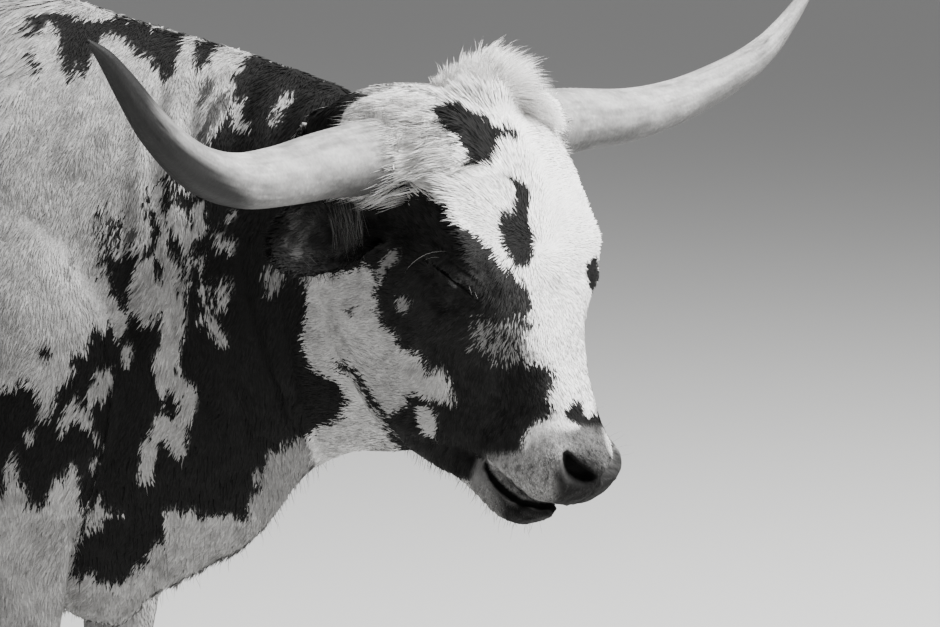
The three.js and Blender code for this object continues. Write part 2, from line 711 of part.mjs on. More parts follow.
// Tail.
const TAIL = [
  [-1268, 1318, 40],
  [-1305, 1312, 38],
  [-1340, 1290, 34],
  [-1362, 1240, 29],
  [-1372, 1150, 24],
  [-1375, 1020, 19],
  [-1373, 880, 16],
  [-1369, 790, 17],
  [-1367, 700, 27],
  [-1366, 600, 31],
  [-1366, 500, 22],
  [-1365, 440, 5],
];
function tail() {
  const curve = new THREE.CatmullRomCurve3(TAIL.map(([x, z]) => V(x, 0, z)), false, "centripetal");
  const path = [];
  const rings = 15;
  for (let i = 0; i <= rings; i++) {
    const k = (i / rings) * (TAIL.length - 1);
    const j = Math.min(TAIL.length - 2, Math.floor(k));
    const r = TAIL[j][2] + (TAIL[j + 1][2] - TAIL[j][2]) * (k - j);
    const across = V(0, 1, 0);
    const x = across.clone().cross(curve.getTangent(i / rings)).normalize();
    path.push({ p: curve.getPoint(i / rings), x, y: across, a: r, b: r });
  }
  return tube(path, 10);
}

// Switch of long hair round the end of the tail.
const SWITCH = { count: 18, top: 820, spread: 230, length: 230, width: 36, thick: 11 };
function switchLocks() {
  const locks = [];
  for (let k = 0; k < SWITCH.count; k++) {
    const turn = k * 2.4;
    const z = SWITCH.top - SWITCH.spread * (k / SWITCH.count);
    const out = V(Math.cos(turn), Math.sin(turn), 0);
    const core = station([...TAIL].reverse().map(([x, h, r]) => [h, x, r]), z);
    const root = V(core[0], 0, z).addScaledVector(out, core[1] - 4);
    const dir = V(0, 0, -1).addScaledVector(out, 0.22 * vary(0.3)).normalize();
    const across = out.clone().cross(dir).normalize();
    const bend = out.clone().multiplyScalar(-0.16).add(V(0.02 * random(), 0.04 * (random() - 0.5), 0));
    const length = SWITCH.length * (1 - 0.25 * (k / SWITCH.count)) * vary(0.12);
    const width = SWITCH.width * vary(0.2);
    locks.push(lock({ root, dir, across, bend, length, width, thick: SWITCH.thick }));
  }
  return locks;
}

// Assembly.
const LEG_CUT_FORE = 500;
const LEG_CUT_HIND = 600;
const WHITE = 0xd8d6d2;
const DARK = 0x3a3836;
const nodes = [];
const put = (name, made, colour, rough = 0.85) => nodes.push({ name, made, colour, rough });

const legs = {};
for (const [name, table, side, offset, cut] of [
  ["foreleg_left", FORELEG, 1, -34, LEG_CUT_FORE],
  ["foreleg_right", FORELEG, -1, 12, LEG_CUT_FORE],
  ["hindleg_left", HINDLEG, 1, 22, LEG_CUT_HIND],
  ["hindleg_right", HINDLEG, -1, -14, LEG_CUT_HIND],
])
  legs[name] = { full: leg(table, side, offset), cut, side, offset, table };

const hornRight = horn(HORN_RIGHT, -1, 0);
const hornLeft = horn(HORN_LEFT, 1, 0);
const earRight = unite([ear(-1), ...earLocks(-1)]);
const earLeft = unite([ear(1), ...earLocks(1)]);
const eyes = { left: eyeParts(1), right: eyeParts(-1) };

let flesh = unite([
  trunk,
  ...Object.values(legs).map((l) => l.full.intersect(beyond(V(0, 0, l.cut), UP, GAP / 2))),
]);
const collars = [collar(HORN_RIGHT, -1), collar(HORN_LEFT, 1)];
let skullAll = unite([skull, jaw, ...collars, mop, ...mopLocks(),
  ...sweepLocks(HORN_RIGHT, -1), ...sweepLocks(HORN_LEFT, 1), eyes.left.lids, eyes.right.lids, flesh]);
for (const hollow of [
  eyes.left.hollow,
  eyes.right.hollow,
  nostril(1),
  nostril(-1),
  horn(HORN_RIGHT, -1, GAP),
  horn(HORN_LEFT, 1, GAP),
])
  skullAll = skullAll.subtract(hollow);

// The head parts from the neck behind the jaw, and the neck from the trunk before the shoulder.
const NAPE = V(590, -78, 1272);
const napeDir = ahead.clone().multiplyScalar(Math.cos(20 * RAD)).add(V(0, 0, -Math.sin(20 * RAD)));
const SHOULDER = V(120, 0, 1200);
const shoulderDir = V(Math.cos(14 * RAD), 0, Math.sin(14 * RAD));
const headSide = (from) => beyond(NAPE, napeDir, from);
const neckSide = (from) => beyond(SHOULDER, shoulderDir, from);
const headSolid = largest(skullAll.intersect(headSide(GAP / 2)));
const neckSolid = largest(skullAll.subtract(headSide(-GAP / 2)).intersect(neckSide(GAP / 2)));
const tailSolid = unite([tail(), ...switchLocks()]);
const TAIL_CUT = V(-1318, 0, 1306);
const tailDir = V(-0.9, 0, -0.43).normalize();
const torsoSolid = largest(
  skullAll
    .subtract(neckSide(-GAP / 2))
    .add(tailSolid.subtract(beyond(TAIL_CUT, tailDir, -GAP / 2))),
);

const earKeep = (made) => largest(made.subtract(headSolid));
put("torso", torsoSolid, WHITE);
put("neck", neckSolid, DARK);
put("head", headSolid, WHITE);
put("ear_left", earKeep(earLeft), DARK);
put("ear_right", earKeep(earRight), DARK);
put("eye_left", eyes.left.eye, 0x15110e, 0.2);
put("eye_right", eyes.right.eye, 0x15110e, 0.2);
put("horn_left", hornLeft, 0xb9b4a8, 0.5);
put("horn_right", hornRight, 0xb9b4a8, 0.5);
put("tail", largest(tailSolid.intersect(beyond(TAIL_CUT, tailDir, GAP / 2)).subtract(torsoSolid)), WHITE);
for (const [name, l] of Object.entries(legs)) {
  put(name, largest(l.full.subtract(beyond(V(0, 0, l.cut), UP, -GAP / 2))), WHITE);
  const [x, y] = station([...l.table].reverse(), SOLE_TOP);
  for (const inner of [-1, 1]) {
    const outside = l.side * inner;
    const hoof = claw(x + l.offset, l.side * y + inner * 25, inner);
    const label = outside > 0 ? "outer" : "inner";
    put(`hoof_${name.replace("leg", "")}_${label}`, hoof, 0x4a4642, 0.6);
  }
}

// Group centred on the footprint of everything.
const box = new THREE.Box3();
for (const n of nodes) {
  const b = n.made.boundingBox();
  box.expandByPoint(V(...b.min)).expandByPoint(V(...b.max));
}
const shift = V(-(box.min.x + box.max.x) / 2, -(box.min.y + box.max.y) / 2, -box.min.z);
const group = new THREE.Group();
group.name = "longhorn";
for (const { name, made, colour, rough } of nodes) {
  const mesh = made.getMesh();
  const geometry = new THREE.BufferGeometry();
  const positions = new Float32Array(mesh.numVert * 3);
  for (let i = 0; i < mesh.numVert; i++) {
    positions[3 * i] = mesh.vertProperties[mesh.numProp * i] + shift.x;
    positions[3 * i + 1] = mesh.vertProperties[mesh.numProp * i + 1] + shift.y;
    positions[3 * i + 2] = mesh.vertProperties[mesh.numProp * i + 2] + shift.z;
  }
  geometry.setAttribute("position", new THREE.BufferAttribute(positions, 3));
  geometry.setIndex(new THREE.BufferAttribute(new Uint32Array(mesh.triVerts), 1));
  geometry.computeVertexNormals();
  const material = new THREE.MeshStandardMaterial({ color: colour, roughness: rough, metalness: 0 });
  const piece = new THREE.Mesh(geometry, material);
  piece.name = name;
  group.add(piece);
}

export default group;
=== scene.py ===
import bpy
import bmesh
import math
import numpy as np
from mathutils import Matrix, Vector

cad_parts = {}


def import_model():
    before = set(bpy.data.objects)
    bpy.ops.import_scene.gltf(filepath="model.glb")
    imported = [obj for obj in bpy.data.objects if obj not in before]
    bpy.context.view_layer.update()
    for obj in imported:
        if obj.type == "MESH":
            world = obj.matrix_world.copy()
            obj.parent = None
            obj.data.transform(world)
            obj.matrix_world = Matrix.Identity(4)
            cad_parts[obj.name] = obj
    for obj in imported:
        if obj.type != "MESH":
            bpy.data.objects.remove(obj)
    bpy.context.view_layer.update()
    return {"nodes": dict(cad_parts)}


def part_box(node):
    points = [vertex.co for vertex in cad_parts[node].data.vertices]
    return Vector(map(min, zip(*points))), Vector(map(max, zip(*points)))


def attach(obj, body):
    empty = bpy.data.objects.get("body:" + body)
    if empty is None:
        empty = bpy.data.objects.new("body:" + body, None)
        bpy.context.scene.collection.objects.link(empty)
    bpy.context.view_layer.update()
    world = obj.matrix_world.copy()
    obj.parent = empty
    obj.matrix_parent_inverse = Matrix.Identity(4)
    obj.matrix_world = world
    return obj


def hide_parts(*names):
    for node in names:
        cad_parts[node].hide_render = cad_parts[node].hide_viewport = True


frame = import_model()


RAD = math.pi / 180
GREY_WARM = np.array([1.0, 0.985, 0.965])


def vec(*t):
    return np.array(t, float)


def unit(a):
    return a / (np.linalg.norm(a, axis=-1, keepdims=True) + 1e-12)


def ease(t):
    t = np.clip(t, 0, 1)
    return t * t * (3 - 2 * t)


def link(name, data):
    """A new object of the data, in the scene."""
    obj = bpy.data.objects.new(name, data)
    bpy.context.scene.collection.objects.link(obj)
    return obj


# Head frame, in millimetres: u down the face from the poll, a to the animal's left, w out of the face.
HEAD_SCALE = 1.0145
POLL = vec(670, -113.3, 1273.7)
HEAD_TURN = -24.03 * RAD
HEAD_ROLL = 4.43 * RAD
FACE_TILT = 57.7 * RAD
AHEAD = vec(math.cos(HEAD_TURN), math.sin(HEAD_TURN), 0)
LEVEL = vec(-math.sin(HEAD_TURN), math.cos(HEAD_TURN), 0)
LEFT = LEVEL * math.cos(HEAD_ROLL) + vec(0, 0, -math.sin(HEAD_ROLL))
CROWN = np.cross(AHEAD, LEFT)
DOWN = AHEAD * math.cos(FACE_TILT) - CROWN * math.sin(FACE_TILT)
OUT = AHEAD * math.sin(FACE_TILT) + CROWN * math.cos(FACE_TILT)
AXES = np.array([DOWN, LEFT, OUT])


def head(u, a, w):
    return POLL + HEAD_SCALE * (np.stack(np.broadcast_arrays(u, a, w), -1).astype(float) @ AXES)


def head_dir(u, a, w):
    return unit(vec(u, a, w) @ AXES)


def local(p):
    return (p - POLL) @ AXES.T / HEAD_SCALE


EYE = vec(219, 99, -47)
NOSTRIL = (461, 41, -42)


def eye_at(side):
    return head(EYE[0], side * EYE[1], EYE[2])


def nostril_at(side):
    return head(NOSTRIL[0], side * NOSTRIL[1], NOSTRIL[2])


lo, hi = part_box("eye_right")
SHIFT = (np.array(lo) + np.array(hi)) * 500 - eye_at(-1)


def world(p):
    return (p + SHIFT) / 1000


# Camera: 20 degrees off the animal's right side, 10 degrees down.
CAM_AT = vec(1695, -2971, 1536)
CAM_RIGHT = vec(0.9397, 0.3420, 0)
CAM_VIEW = vec(-0.3368, 0.9254, -0.1736)
CAM_UP = vec(-0.0594, 0.1632, 0.9848)
FOCAL = 2560.0
WIDE, HIGH = 940, 627


def pixel(p):
    d = p - CAM_AT
    z = d @ CAM_VIEW
    return np.stack([WIDE / 2 + FOCAL * (d @ CAM_RIGHT) / z, HIGH / 2 - FOCAL * (d @ CAM_UP) / z], -1)


cam_data = bpy.data.cameras.new("camera")
cam_data.sensor_width = 36
cam_data.lens = FOCAL / WIDE * 36
cam_data.clip_end = 200
camera = link("camera", cam_data)
turn = Matrix([list(CAM_RIGHT), list(CAM_UP), list(-CAM_VIEW)]).transposed().to_4x4()
camera.matrix_world = Matrix.Translation(Vector(world(CAM_AT))) @ turn
bpy.context.scene.camera = camera


# Smooth value of a station table at s, without overshoot.
def station(table, s):
    t = np.asarray(table, float)
    x, y = t[:, 0], t[:, 1:]
    d = np.diff(y, axis=0) / np.diff(x)[:, None]
    m = np.zeros_like(y)
    m[0], m[-1] = d[0], d[-1]
    a, b = d[:-1], d[1:]
    with np.errstate(all="ignore"):
        m[1:-1] = np.where(a * b > 0, 2 * a * b / (a + b), 0)
    s = np.clip(np.atleast_1d(s).astype(float), x[0], x[-1])
    i = np.clip(np.searchsorted(x, s, side="right") - 1, 0, len(x) - 2)
    h = (x[i + 1] - x[i])[:, None]
    k = (s - x[i])[:, None] / h
    return (
        y[i] * (1 + 2 * k) * (1 - k) ** 2 + m[i] * h * k * (1 - k) ** 2
        + y[i + 1] * k * k * (3 - 2 * k) + m[i + 1] * h * k * k * (k - 1)
    )


# Lattice noise in 0..1, smooth, from position.
HASH_X, HASH_Y, HASH_Z = 73856093, 19349663, 83492791
HASH_SEED, HASH_FIRST, HASH_SECOND = 2654435761, 2246822519, 3266489917


def noise(p, size, seed=0):
    q = p / size + 1000.0 + seed * 17.3
    i = np.floor(q).astype(np.int64)
    f = q - i
    f = f * f * (3 - 2 * f)
    out = np.zeros(len(p))
    for dx in (0, 1):
        for dy in (0, 1):
            for dz in (0, 1):
                n = (i[:, 0] + dx) * HASH_X ^ (i[:, 1] + dy) * HASH_Y ^ (i[:, 2] + dz) * HASH_Z
                n = (n ^ (seed * HASH_SEED)) & 0xFFFFFFFF
                n = ((n ^ (n >> 15)) * HASH_FIRST) & 0xFFFFFFFF
                n = ((n ^ (n >> 13)) * HASH_SECOND) & 0xFFFFFFFF
                h = ((n ^ (n >> 16)) & 0xFFFF) / 65535.0
                wx = f[:, 0] if dx else 1 - f[:, 0]
                wy = f[:, 1] if dy else 1 - f[:, 1]
                wz = f[:, 2] if dz else 1 - f[:, 2]
                out += h * wx * wy * wz
    return out


def loft(rings):
    r, n = rings.shape[:2]
    points = np.concatenate([rings.reshape(-1, 3), rings[0].mean(0)[None], rings[-1].mean(0)[None]])
    j = np.arange(n)
    k = (j + 1) % n
    quads = []
    for i in range(r - 1):
        quads.append(np.stack([i * n + j, i * n + k, (i + 1) * n + k, (i + 1) * n + j], -1))
    first, last = r * n, r * n + 1
    caps = [np.stack([k, j, np.full(n, first)], -1)]
    caps.append(np.stack([(r - 1) * n + j, (r - 1) * n + k, np.full(n, last)], -1))
    return points, np.concatenate(quads), np.concatenate(caps)


def tube(p, x, y, a, b, sides, power=1.0):
    t = np.arange(sides) * 2 * math.pi / sides
    c = np.sign(np.cos(t)) * np.abs(np.cos(t)) ** power
    s = np.sign(np.sin(t)) * np.abs(np.sin(t)) ** power
    a, b = np.broadcast_to(a, len(p)), np.broadcast_to(b, len(p))
    ring = p[:, None] + (a[:, None] * c)[..., None] * x[:, None] + (b[:, None] * s)[..., None] * y[:, None]
    return loft(ring)


def ball(c, axes, half, rings=24, sides=40):
    t = np.linspace(-math.pi / 2, math.pi / 2, rings + 2)[1:-1]
    p = c + np.sin(t)[:, None] * half[2] * axes[2]
    x, y = np.tile(axes[0], (rings, 1)), np.tile(axes[1], (rings, 1))
    return tube(p, x, y, half[0] * np.cos(t), half[1] * np.cos(t), sides)


def spline(p0, p1, p2, p3, t):
    """Point at t, from 0 to 1, between p1 and p2 on a smooth curve through all four."""
    bend, turn = 2 * p0 - 5 * p1 + 4 * p2 - p3, 3 * p1 - p0 - 3 * p2 + p3
    return 0.5 * (2 * p1 + (p2 - p0) * t + bend * t**2 + turn * t**3)


# Smooth open curve through control points, `count` samples.
def curve(points, count):
    pts = np.asarray(points, float)
    pts = np.concatenate([[2 * pts[0] - pts[1]], pts, [2 * pts[-1] - pts[-2]]])
    f = np.linspace(0, len(pts) - 3 - 1e-9, count)
    i = f.astype(int)
    t = (f - i)[:, None]
    return spline(pts[i], pts[i + 1], pts[i + 2], pts[i + 3], t)


# Trunk and neck.
NECK_FROM, NECK_TO = 180, 640


def heading(s):
    return HEAD_TURN * ease((np.asarray(s, float) - NECK_FROM) / (NECK_TO - NECK_FROM))


_s = np.arange(NECK_FROM, 761, 2.0)
_step = np.stack([np.cos(heading(_s + 1)), np.sin(heading(_s + 1))], -1) * 2
_xy = np.concatenate([[[NECK_FROM, 0]], vec(NECK_FROM, 0) + np.cumsum(_step, 0)[:-1]])


def spine(s):
    s = np.asarray(s, float)
    x = np.where(s < NECK_FROM, s, np.interp(s, _s, _xy[:, 0]))
    y = np.where(s < NECK_FROM, 0, np.interp(s, _s, _xy[:, 1]))
    return np.stack([x, y, 0 * x], -1)


def along_spine(p):
    s = p[:, 0].copy()
    far = np.nonzero(p[:, 0] > NECK_FROM - 20)[0]
    a = heading(_s)
    for part in np.array_split(far, max(1, len(far) // 20000)):
        d = p[part, None, :2] - _xy[None]
        ahead = d[..., 0] * np.cos(a) + d[..., 1] * np.sin(a)
        s[part] = (
            _s[np.argmin(np.abs(ahead), 1)]
            + np.take_along_axis(ahead, np.argmin(np.abs(ahead), 1)[:, None], 1)[:, 0]
        )
    return s


TRUNK = [
    [-1322, 1296, 1040, 84, 1190, 1, 1], [-1305, 1312, 965, 128, 1185, 0.95, 1],
    [-1265, 1330, 895, 172, 1175, 0.9, 1],
    [-1200, 1344, 845, 205, 1150, 0.85, 1], [-1100, 1354, 800, 232, 1120, 0.8, 1],
    [-980, 1358, 765, 248, 1080, 0.8, 0.95],
    [-850, 1350, 722, 262, 1030, 0.85, 0.9], [-700, 1340, 676, 282, 985, 0.9, 0.85],
    [-500, 1330, 632, 298, 955, 0.95, 0.85],
    [-330, 1330, 608, 290, 950, 1, 0.85], [-190, 1346, 602, 268, 965, 1.1, 0.9], [-90, 1364, 598, 246, 980, 1.2, 1],
    [0, 1370, 560, 232, 990, 1.3, 1.3], [60, 1366, 520, 222, 1000, 1.35, 1.6],
    [110, 1353, 517, 210, 1010, 1.4, 1.8],
    [150, 1342, 552, 198, 1020, 1.4, 1.9], [200, 1330, 582, 180, 1025, 1.4, 1.9],
    [250, 1318, 612, 164, 1030, 1.35, 1.9],
    [300, 1307, 642, 150, 1035, 1.3, 1.9], [340, 1296, 680, 140, 1035, 1.3, 1.9],
    [380, 1285, 735, 132, 1035, 1.25, 1.8],
    [430, 1270, 776, 124, 1030, 1.2, 1.7], [480, 1256, 796, 118, 1020, 1.15, 1.6],
    [540, 1244, 806, 112, 1010, 1.1, 1.5],
    [600, 1236, 822, 104, 1005, 1.1, 1.4], [650, 1225, 850, 90, 1005, 1.1, 1.3],
]
TRUNK_LUMPS = [
    (-955, 225, 1290, 95, 80, 75, 20), (-1300, 110, 1262, 60, 60, 55, 12), (-800, 262, 1170, 130, 90, 120, -18),
    (-1130, 215, 1250, 120, 90, 70, -12), (-150, 250, 1090, 70, 120, 170, -9), (190, 180, 1080, 90, 120, 150, -8),
]


def trunk():
    s = np.linspace(-1322, 655, 150)
    top, bottom, half, mid, up, down = station(TRUNK, s).T
    t = np.arange(80) * 2 * math.pi / 80
    c, k = np.cos(t)[None], np.sin(t)[None]
    power = np.where(k > 0, up[:, None], down[:, None])
    y = half[:, None] * np.sign(c) * np.abs(c) ** power
    z = np.where(k > 0, (top - mid)[:, None] * k, (mid - bottom)[:, None] * k)
    a = heading(s)
    left = np.stack([-np.sin(a), np.cos(a), 0 * a], -1)
    core = spine(s) + mid[:, None] * vec(0, 0, 1)
    ring = core[:, None] + y[..., None] * left[:, None] + z[..., None] * vec(0, 0, 1)
    out = unit(ring - core[:, None])
    h = 0
    for x, b, e, rx, ry, rz, lift in TRUNK_LUMPS:
        for side in (-1, 1):
            h = h + lift * np.exp(-1.6 * (((ring - vec(x, side * b, e)) / vec(rx, ry, rz)) ** 2).sum(-1))
    return loft(ring + h[..., None] * out)


# Legs.
FORELEG = [
    [76, 50, 143, 39, 40], [92, 42, 143, 36, 37], [112, 34, 143, 38, 37], [135, 28, 143, 39, 36],
    [165, 28, 143, 32, 29],
    [230, 30, 143, 30, 28], [295, 34, 143, 34, 33], [330, 40, 143, 43, 40], [365, 43, 143, 49, 44],
    [395, 42, 143, 48, 43],
    [430, 39, 144, 48, 41], [500, 36, 147, 56, 44], [570, 36, 151, 69, 49], [640, 38, 158, 84, 56],
    [700, 42, 166, 102, 64],
    [760, 55, 174, 116, 72], [840, 66, 178, 132, 78], [940, 62, 172, 145, 80], [1060, 35, 152, 135, 72],
    [1180, 5, 128, 105, 58],
]
HINDLEG = [
    [76, -1187, 142, 40, 40], [90, -1195, 142, 37, 37], [110, -1204, 142, 38, 37], [132, -1213, 142, 42, 38],
    [160, -1218, 142, 36, 32], [220, -1226, 142, 33, 29], [320, -1240, 142, 34, 29], [400, -1254, 142, 38, 33],
    [450, -1262, 142, 48, 38], [485, -1262, 142, 60, 41], [520, -1250, 143, 70, 42], [560, -1225, 145, 76, 42],
    [610, -1185, 149, 92, 48], [670, -1135, 156, 120, 57], [730, -1095, 166, 152, 66], [800, -1070, 176, 190, 74],
    [880, -1072, 180, 212, 80], [980, -1085, 172, 222, 84], [1100, -1090, 150, 215, 84],
    [1220, -1075, 110, 190, 80],
]
LEGS = [(FORELEG, 1, -34), (FORELEG, -1, 12), (HINDLEG, 1, 22), (HINDLEG, -1, -14)]


def leg_line(table, side, offset, z):
    x, y, a, b = station(table, z).T
    return np.stack([x + offset * ease((620 - z) / 560), side * y, z], -1), a, b


def leg(table, side, offset):
    z = np.linspace(66, 1180, 110)
    p, a, b = leg_line(table, side, offset, z)
    n = len(z)
    return tube(p, np.tile(vec(1, 0, 0), (n, 1)), np.tile(vec(0, side, 0), (n, 1)), a, b, 40, 0.92)


# Head: u, then top w, and pairs a, w round one side to the bottom w.
SKULL = [
    [-60, -88, 66, -100, 104, -150, 104, -205, 70, -262, -278],
    [-35, -58, 80, -68, 124, -110, 106, -195, 78, -264, -284],
    [-8, -28, 92, -36, 136, -76, 106, -185, 84, -268, -292], [25, -8, 96, -13, 140, -56, 106, -178, 88, -274, -300],
    [60, 2, 97, -3, 138, -46, 106, -172, 90, -280, -306], [100, 5, 96, 0, 130, -36, 106, -170, 90, -286, -312],
    [140, 4, 95, -1, 123, -31, 106, -170, 88, -290, -317], [180, 0, 92, -6, 121, -29, 105, -168, 84, -293, -320],
    [212, -6, 86, -12, 121, -37, 102, -168, 79, -293, -321],
    [245, -12, 74, -20, 110, -52, 98, -168, 74, -290, -321],
    [280, -18, 60, -27, 92, -70, 92, -164, 69, -285, -318], [320, -23, 47, -33, 74, -84, 84, -158, 62, -264, -298],
    [360, -28, 40, -38, 64, -88, 75, -150, 54, -216, -246], [395, -32, 38, -42, 60, -84, 69, -138, 48, -166, -180],
    [425, -34, 42, -45, 63, -78, 67, -118, 46, -140, -150], [448, -34, 45, -46, 65, -74, 65, -106, 44, -127, -135],
    [466, -36, 44, -49, 63, -75, 59, -102, 40, -118, -124], [479, -44, 38, -57, 53, -78, 49, -98, 32, -110, -114],
    [488, -56, 28, -67, 38, -82, 35, -94, 22, -102, -104], [494, -70, 13, -77, 17, -84, 14, -90, 9, -94, -95],
]
JAW = [
    [250, -190, 50, -200, 76, -228, 68, -276, 42, -306, -318],
    [300, -180, 48, -190, 70, -216, 64, -264, 41, -296, -312],
    [335, -172, 46, -180, 65, -204, 60, -246, 39, -279, -294],
    [370, -162, 43, -169, 59, -190, 54, -222, 36, -250, -264],
    [405, -154, 41, -159, 53, -177, 49, -200, 33, -214, -223],
    [435, -149, 38, -153, 48, -168, 45, -184, 31, -195, -201],
    [460, -144, 36, -148, 44, -160, 41, -175, 27, -184, -189],
    [476, -140, 31, -143, 37, -153, 34, -166, 22, -173, -176],
    [488, -141, 18, -143, 23, -150, 21, -158, 13, -162, -164],
]
JAW_SHIFT = -9
HEAD_LUMPS = [
    (188, 116, -22, 30, 30, 20, 5), (258, 100, -84, 36, 24, 16, 6), (314, 78, -102, 46, 24, 16, 5),
    (205, 104, -205, 62, 50, 54, 7), (132, 112, -84, 30, 26, 26, -6), (456, 50, -50, 20, 22, 16, 4),
    (394, 66, -124, 22, 20, 16, 5), (434, 62, -116, 26, 24, 20, 4),
]


def head_loft(table, us, sides, shift):
    rows = station(table, us)
    wt, wb = rows[:, 0], rows[:, -1]
    a, w = rows[:, 1:-1:2], rows[:, 2:-1:2]
    pa = np.concatenate([0 * wt[:, None], a, 0 * wt[:, None], -a[:, ::-1]], 1)
    pw = np.concatenate([wt[:, None], w, wb[:, None], w[:, ::-1]], 1)
    n = pa.shape[1]
    f = np.arange(sides) * n / sides
    i = f.astype(int)
    t = f - i
    ring = []
    for q in (pa, pw):
        ring.append(spline(q[:, (i - 1) % n], q[:, i % n], q[:, (i + 1) % n], q[:, (i + 2) % n], t))
    ra, rw = ring
    u = us[:, None] + 0 * ra
    h = 0
    for lu, la, lw, ru, rr, rd, lift in HEAD_LUMPS:
        for side in (-1, 1):
            h = h + lift * np.exp(-(((u - lu) / ru) ** 2 + ((ra - side * la) / rr) ** 2 + ((rw - lw) / rd) ** 2))
    core = ((wt + wb) / 2)[:, None]
    r = np.hypot(ra, rw - core) + 1e-6
    return loft(head(u, ra + h * ra / r + shift[:, None], rw + h * (rw - core) / r))


HORN_RIGHT = [
    [48, 108, -59, 45], [58, 142, -60, 44], [70, 232, -60, 37.5], [88, 315, -50, 32.5], [98, 384, -40, 29],
    [95, 442, -25, 25.5], [83, 488, -5, 22], [61, 528, 15, 18.5], [30, 568, 40, 13.5], [11, 599, 60, 8.5],
    [2, 627, 75, 2.4],
]
HORN_LEFT = [
    [28, 108, -59, 44], [18, 150, -60, 42.5], [10, 220, -60, 38.5], [7, 301, -55, 34], [0, 366, -45, 30],
    [-10, 425, -22, 26], [-26, 484, 10, 21.5], [-42, 520, 32, 18], [-62, 550, 50, 14.5], [-98, 591, 78, 9],
    [-142, 634, 97, 2.4],
]
COLLAR = [(84, 9), (118, 10), (142, 8.5), (158, 4)]


def collar(table, side):
    rows = [[a, u, w, r] for u, a, w, r in table]
    a = np.linspace(84, 158, 20)
    grow = np.interp(a, [c[0] for c in COLLAR], [c[1] for c in COLLAR])
    u, w, r = station(rows, a).T
    n = len(a)
    return tube(head(u, side * a, w), np.tile(DOWN, (n, 1)), np.tile(OUT, (n, 1)), r + grow - 3, r + grow - 3, 48)


LIDS = [37, 27, 24]


def eye_axes(side):
    along = head_dir(0.78, side * -0.24, 0.58)
    outward = LEFT * side + 0.25 * DOWN + 0.1 * OUT
    outward = unit(outward - (outward @ along) * along)
    across = np.cross(outward, along) * side
    return along, across, outward


EAR = [
    [-22, 20, 8, 22], [0, 25, 14, 20], [20, 33, 22, 12], [44, 40, 25, 8], [74, 45, 23, 6.5], [102, 45, 18, 6],
    [128, 41, 13, 5.5], [147, 34, 9, 5], [160, 24, 5, 4.5], [168, 11, 2, 3.5],
]
EAR_LENGTH, EAR_SAG = 173, 9


def ear_frame(side):
    base = head(112, side * 112, -118)
    along = head_dir(0.06, side * 0.985, -0.5 if side > 0 else -0.1)
    opening = head_dir(0.42, side * (0.5 if side > 0 else 0.12), 0.78)
    across = unit(np.cross(opening, along))
    return base, along, across, np.cross(along, across)


def ear(side):
    base, along, across, face = ear_frame(side)
    d = np.linspace(-22, 168, 60)
    half, cup, thick = station(EAR, d).T
    c = base + d[:, None] * along - (EAR_SAG * ease(d / EAR_LENGTH))[:, None] * vec(0, 0, 1)
    k = np.linspace(-1, 1, 17)
    depth = -cup[:, None] * (1 - k**2)
    thick = np.maximum(thick, 7.5)
    def sheet(lift, narrow):
        return c[:, None] + (half[:, None] * k * narrow)[..., None] * across + (depth + lift[:, None])[..., None] * face
    return loft(np.concatenate([sheet(-thick / 2, 1), sheet(thick / 2, 0.94)[:, ::-1]], 1))


TAIL = [
    [-1268, 1318, 40], [-1305, 1312, 38], [-1340, 1290, 34], [-1362, 1240, 29], [-1372, 1150, 24],
    [-1375, 1020, 19],
    [-1373, 880, 15], [-1369, 790, 12], [-1367, 700, 11], [-1366, 600, 9],
]


def tail():
    p = curve([[x, 0, z] for x, z, _ in TAIL], 90)
    r = np.interp(np.linspace(0, len(TAIL) - 1, 90), range(len(TAIL)), [t[2] for t in TAIL])
    d = unit(np.gradient(p, axis=0))
    y = np.tile(vec(0, 1, 0), (90, 1))
    return tube(p, unit(np.cross(y, d)), y, r, r, 28)


MOP_AT = head(4, 38, -34)
MOP_HALF = [46, 62, 40]


def make_mesh(name, points, faces):
    mesh = bpy.data.meshes.new(name)
    total = sum(len(f) for f in faces)
    loops = np.concatenate([f.reshape(-1) for f in faces]).astype(np.int32)
    sizes = np.concatenate([np.full(len(f), f.shape[1]) for f in faces])
    starts = np.concatenate([[0], np.cumsum(sizes)[:-1]]).astype(np.int32)
    mesh.vertices.add(len(points))
    mesh.vertices.foreach_set("co", np.ascontiguousarray(points, np.float32).reshape(-1))
    mesh.loops.add(len(loops))
    mesh.loops.foreach_set("vertex_index", loops)
    mesh.polygons.add(total)
    mesh.polygons.foreach_set("loop_start", starts)
    mesh.update(calc_edges=True)
    mesh.validate()
    mesh.shade_smooth()
    return mesh


def joined(parts):
    points, quads, tris, at = [], [], [], 0
    for p, q, t in parts:
        points.append(p)
        quads.append(q + at)
        tris.append(t + at)
        at += len(p)
    return np.concatenate(points), [np.concatenate(quads), np.concatenate(tris)]


# The solids are merged by a voxel remesh in a space that is stretched round the face, so cells are finest there.
FOCUS = head(330, -10, -100)
STRETCH, REACH, CELL = 1500.0, 380.0, 14.2
_r = np.linspace(0, 4000, 8001)
_r2 = _r + STRETCH * (1 - np.exp(-_r / REACH))


def stretch(p, back=False):
    d = p - FOCUS
    r = np.linalg.norm(d, axis=1)
    new = np.interp(r, _r2, _r) if back else np.interp(r, _r, _r2)
    return FOCUS + d * (new / np.maximum(r, 1e-6))[:, None]


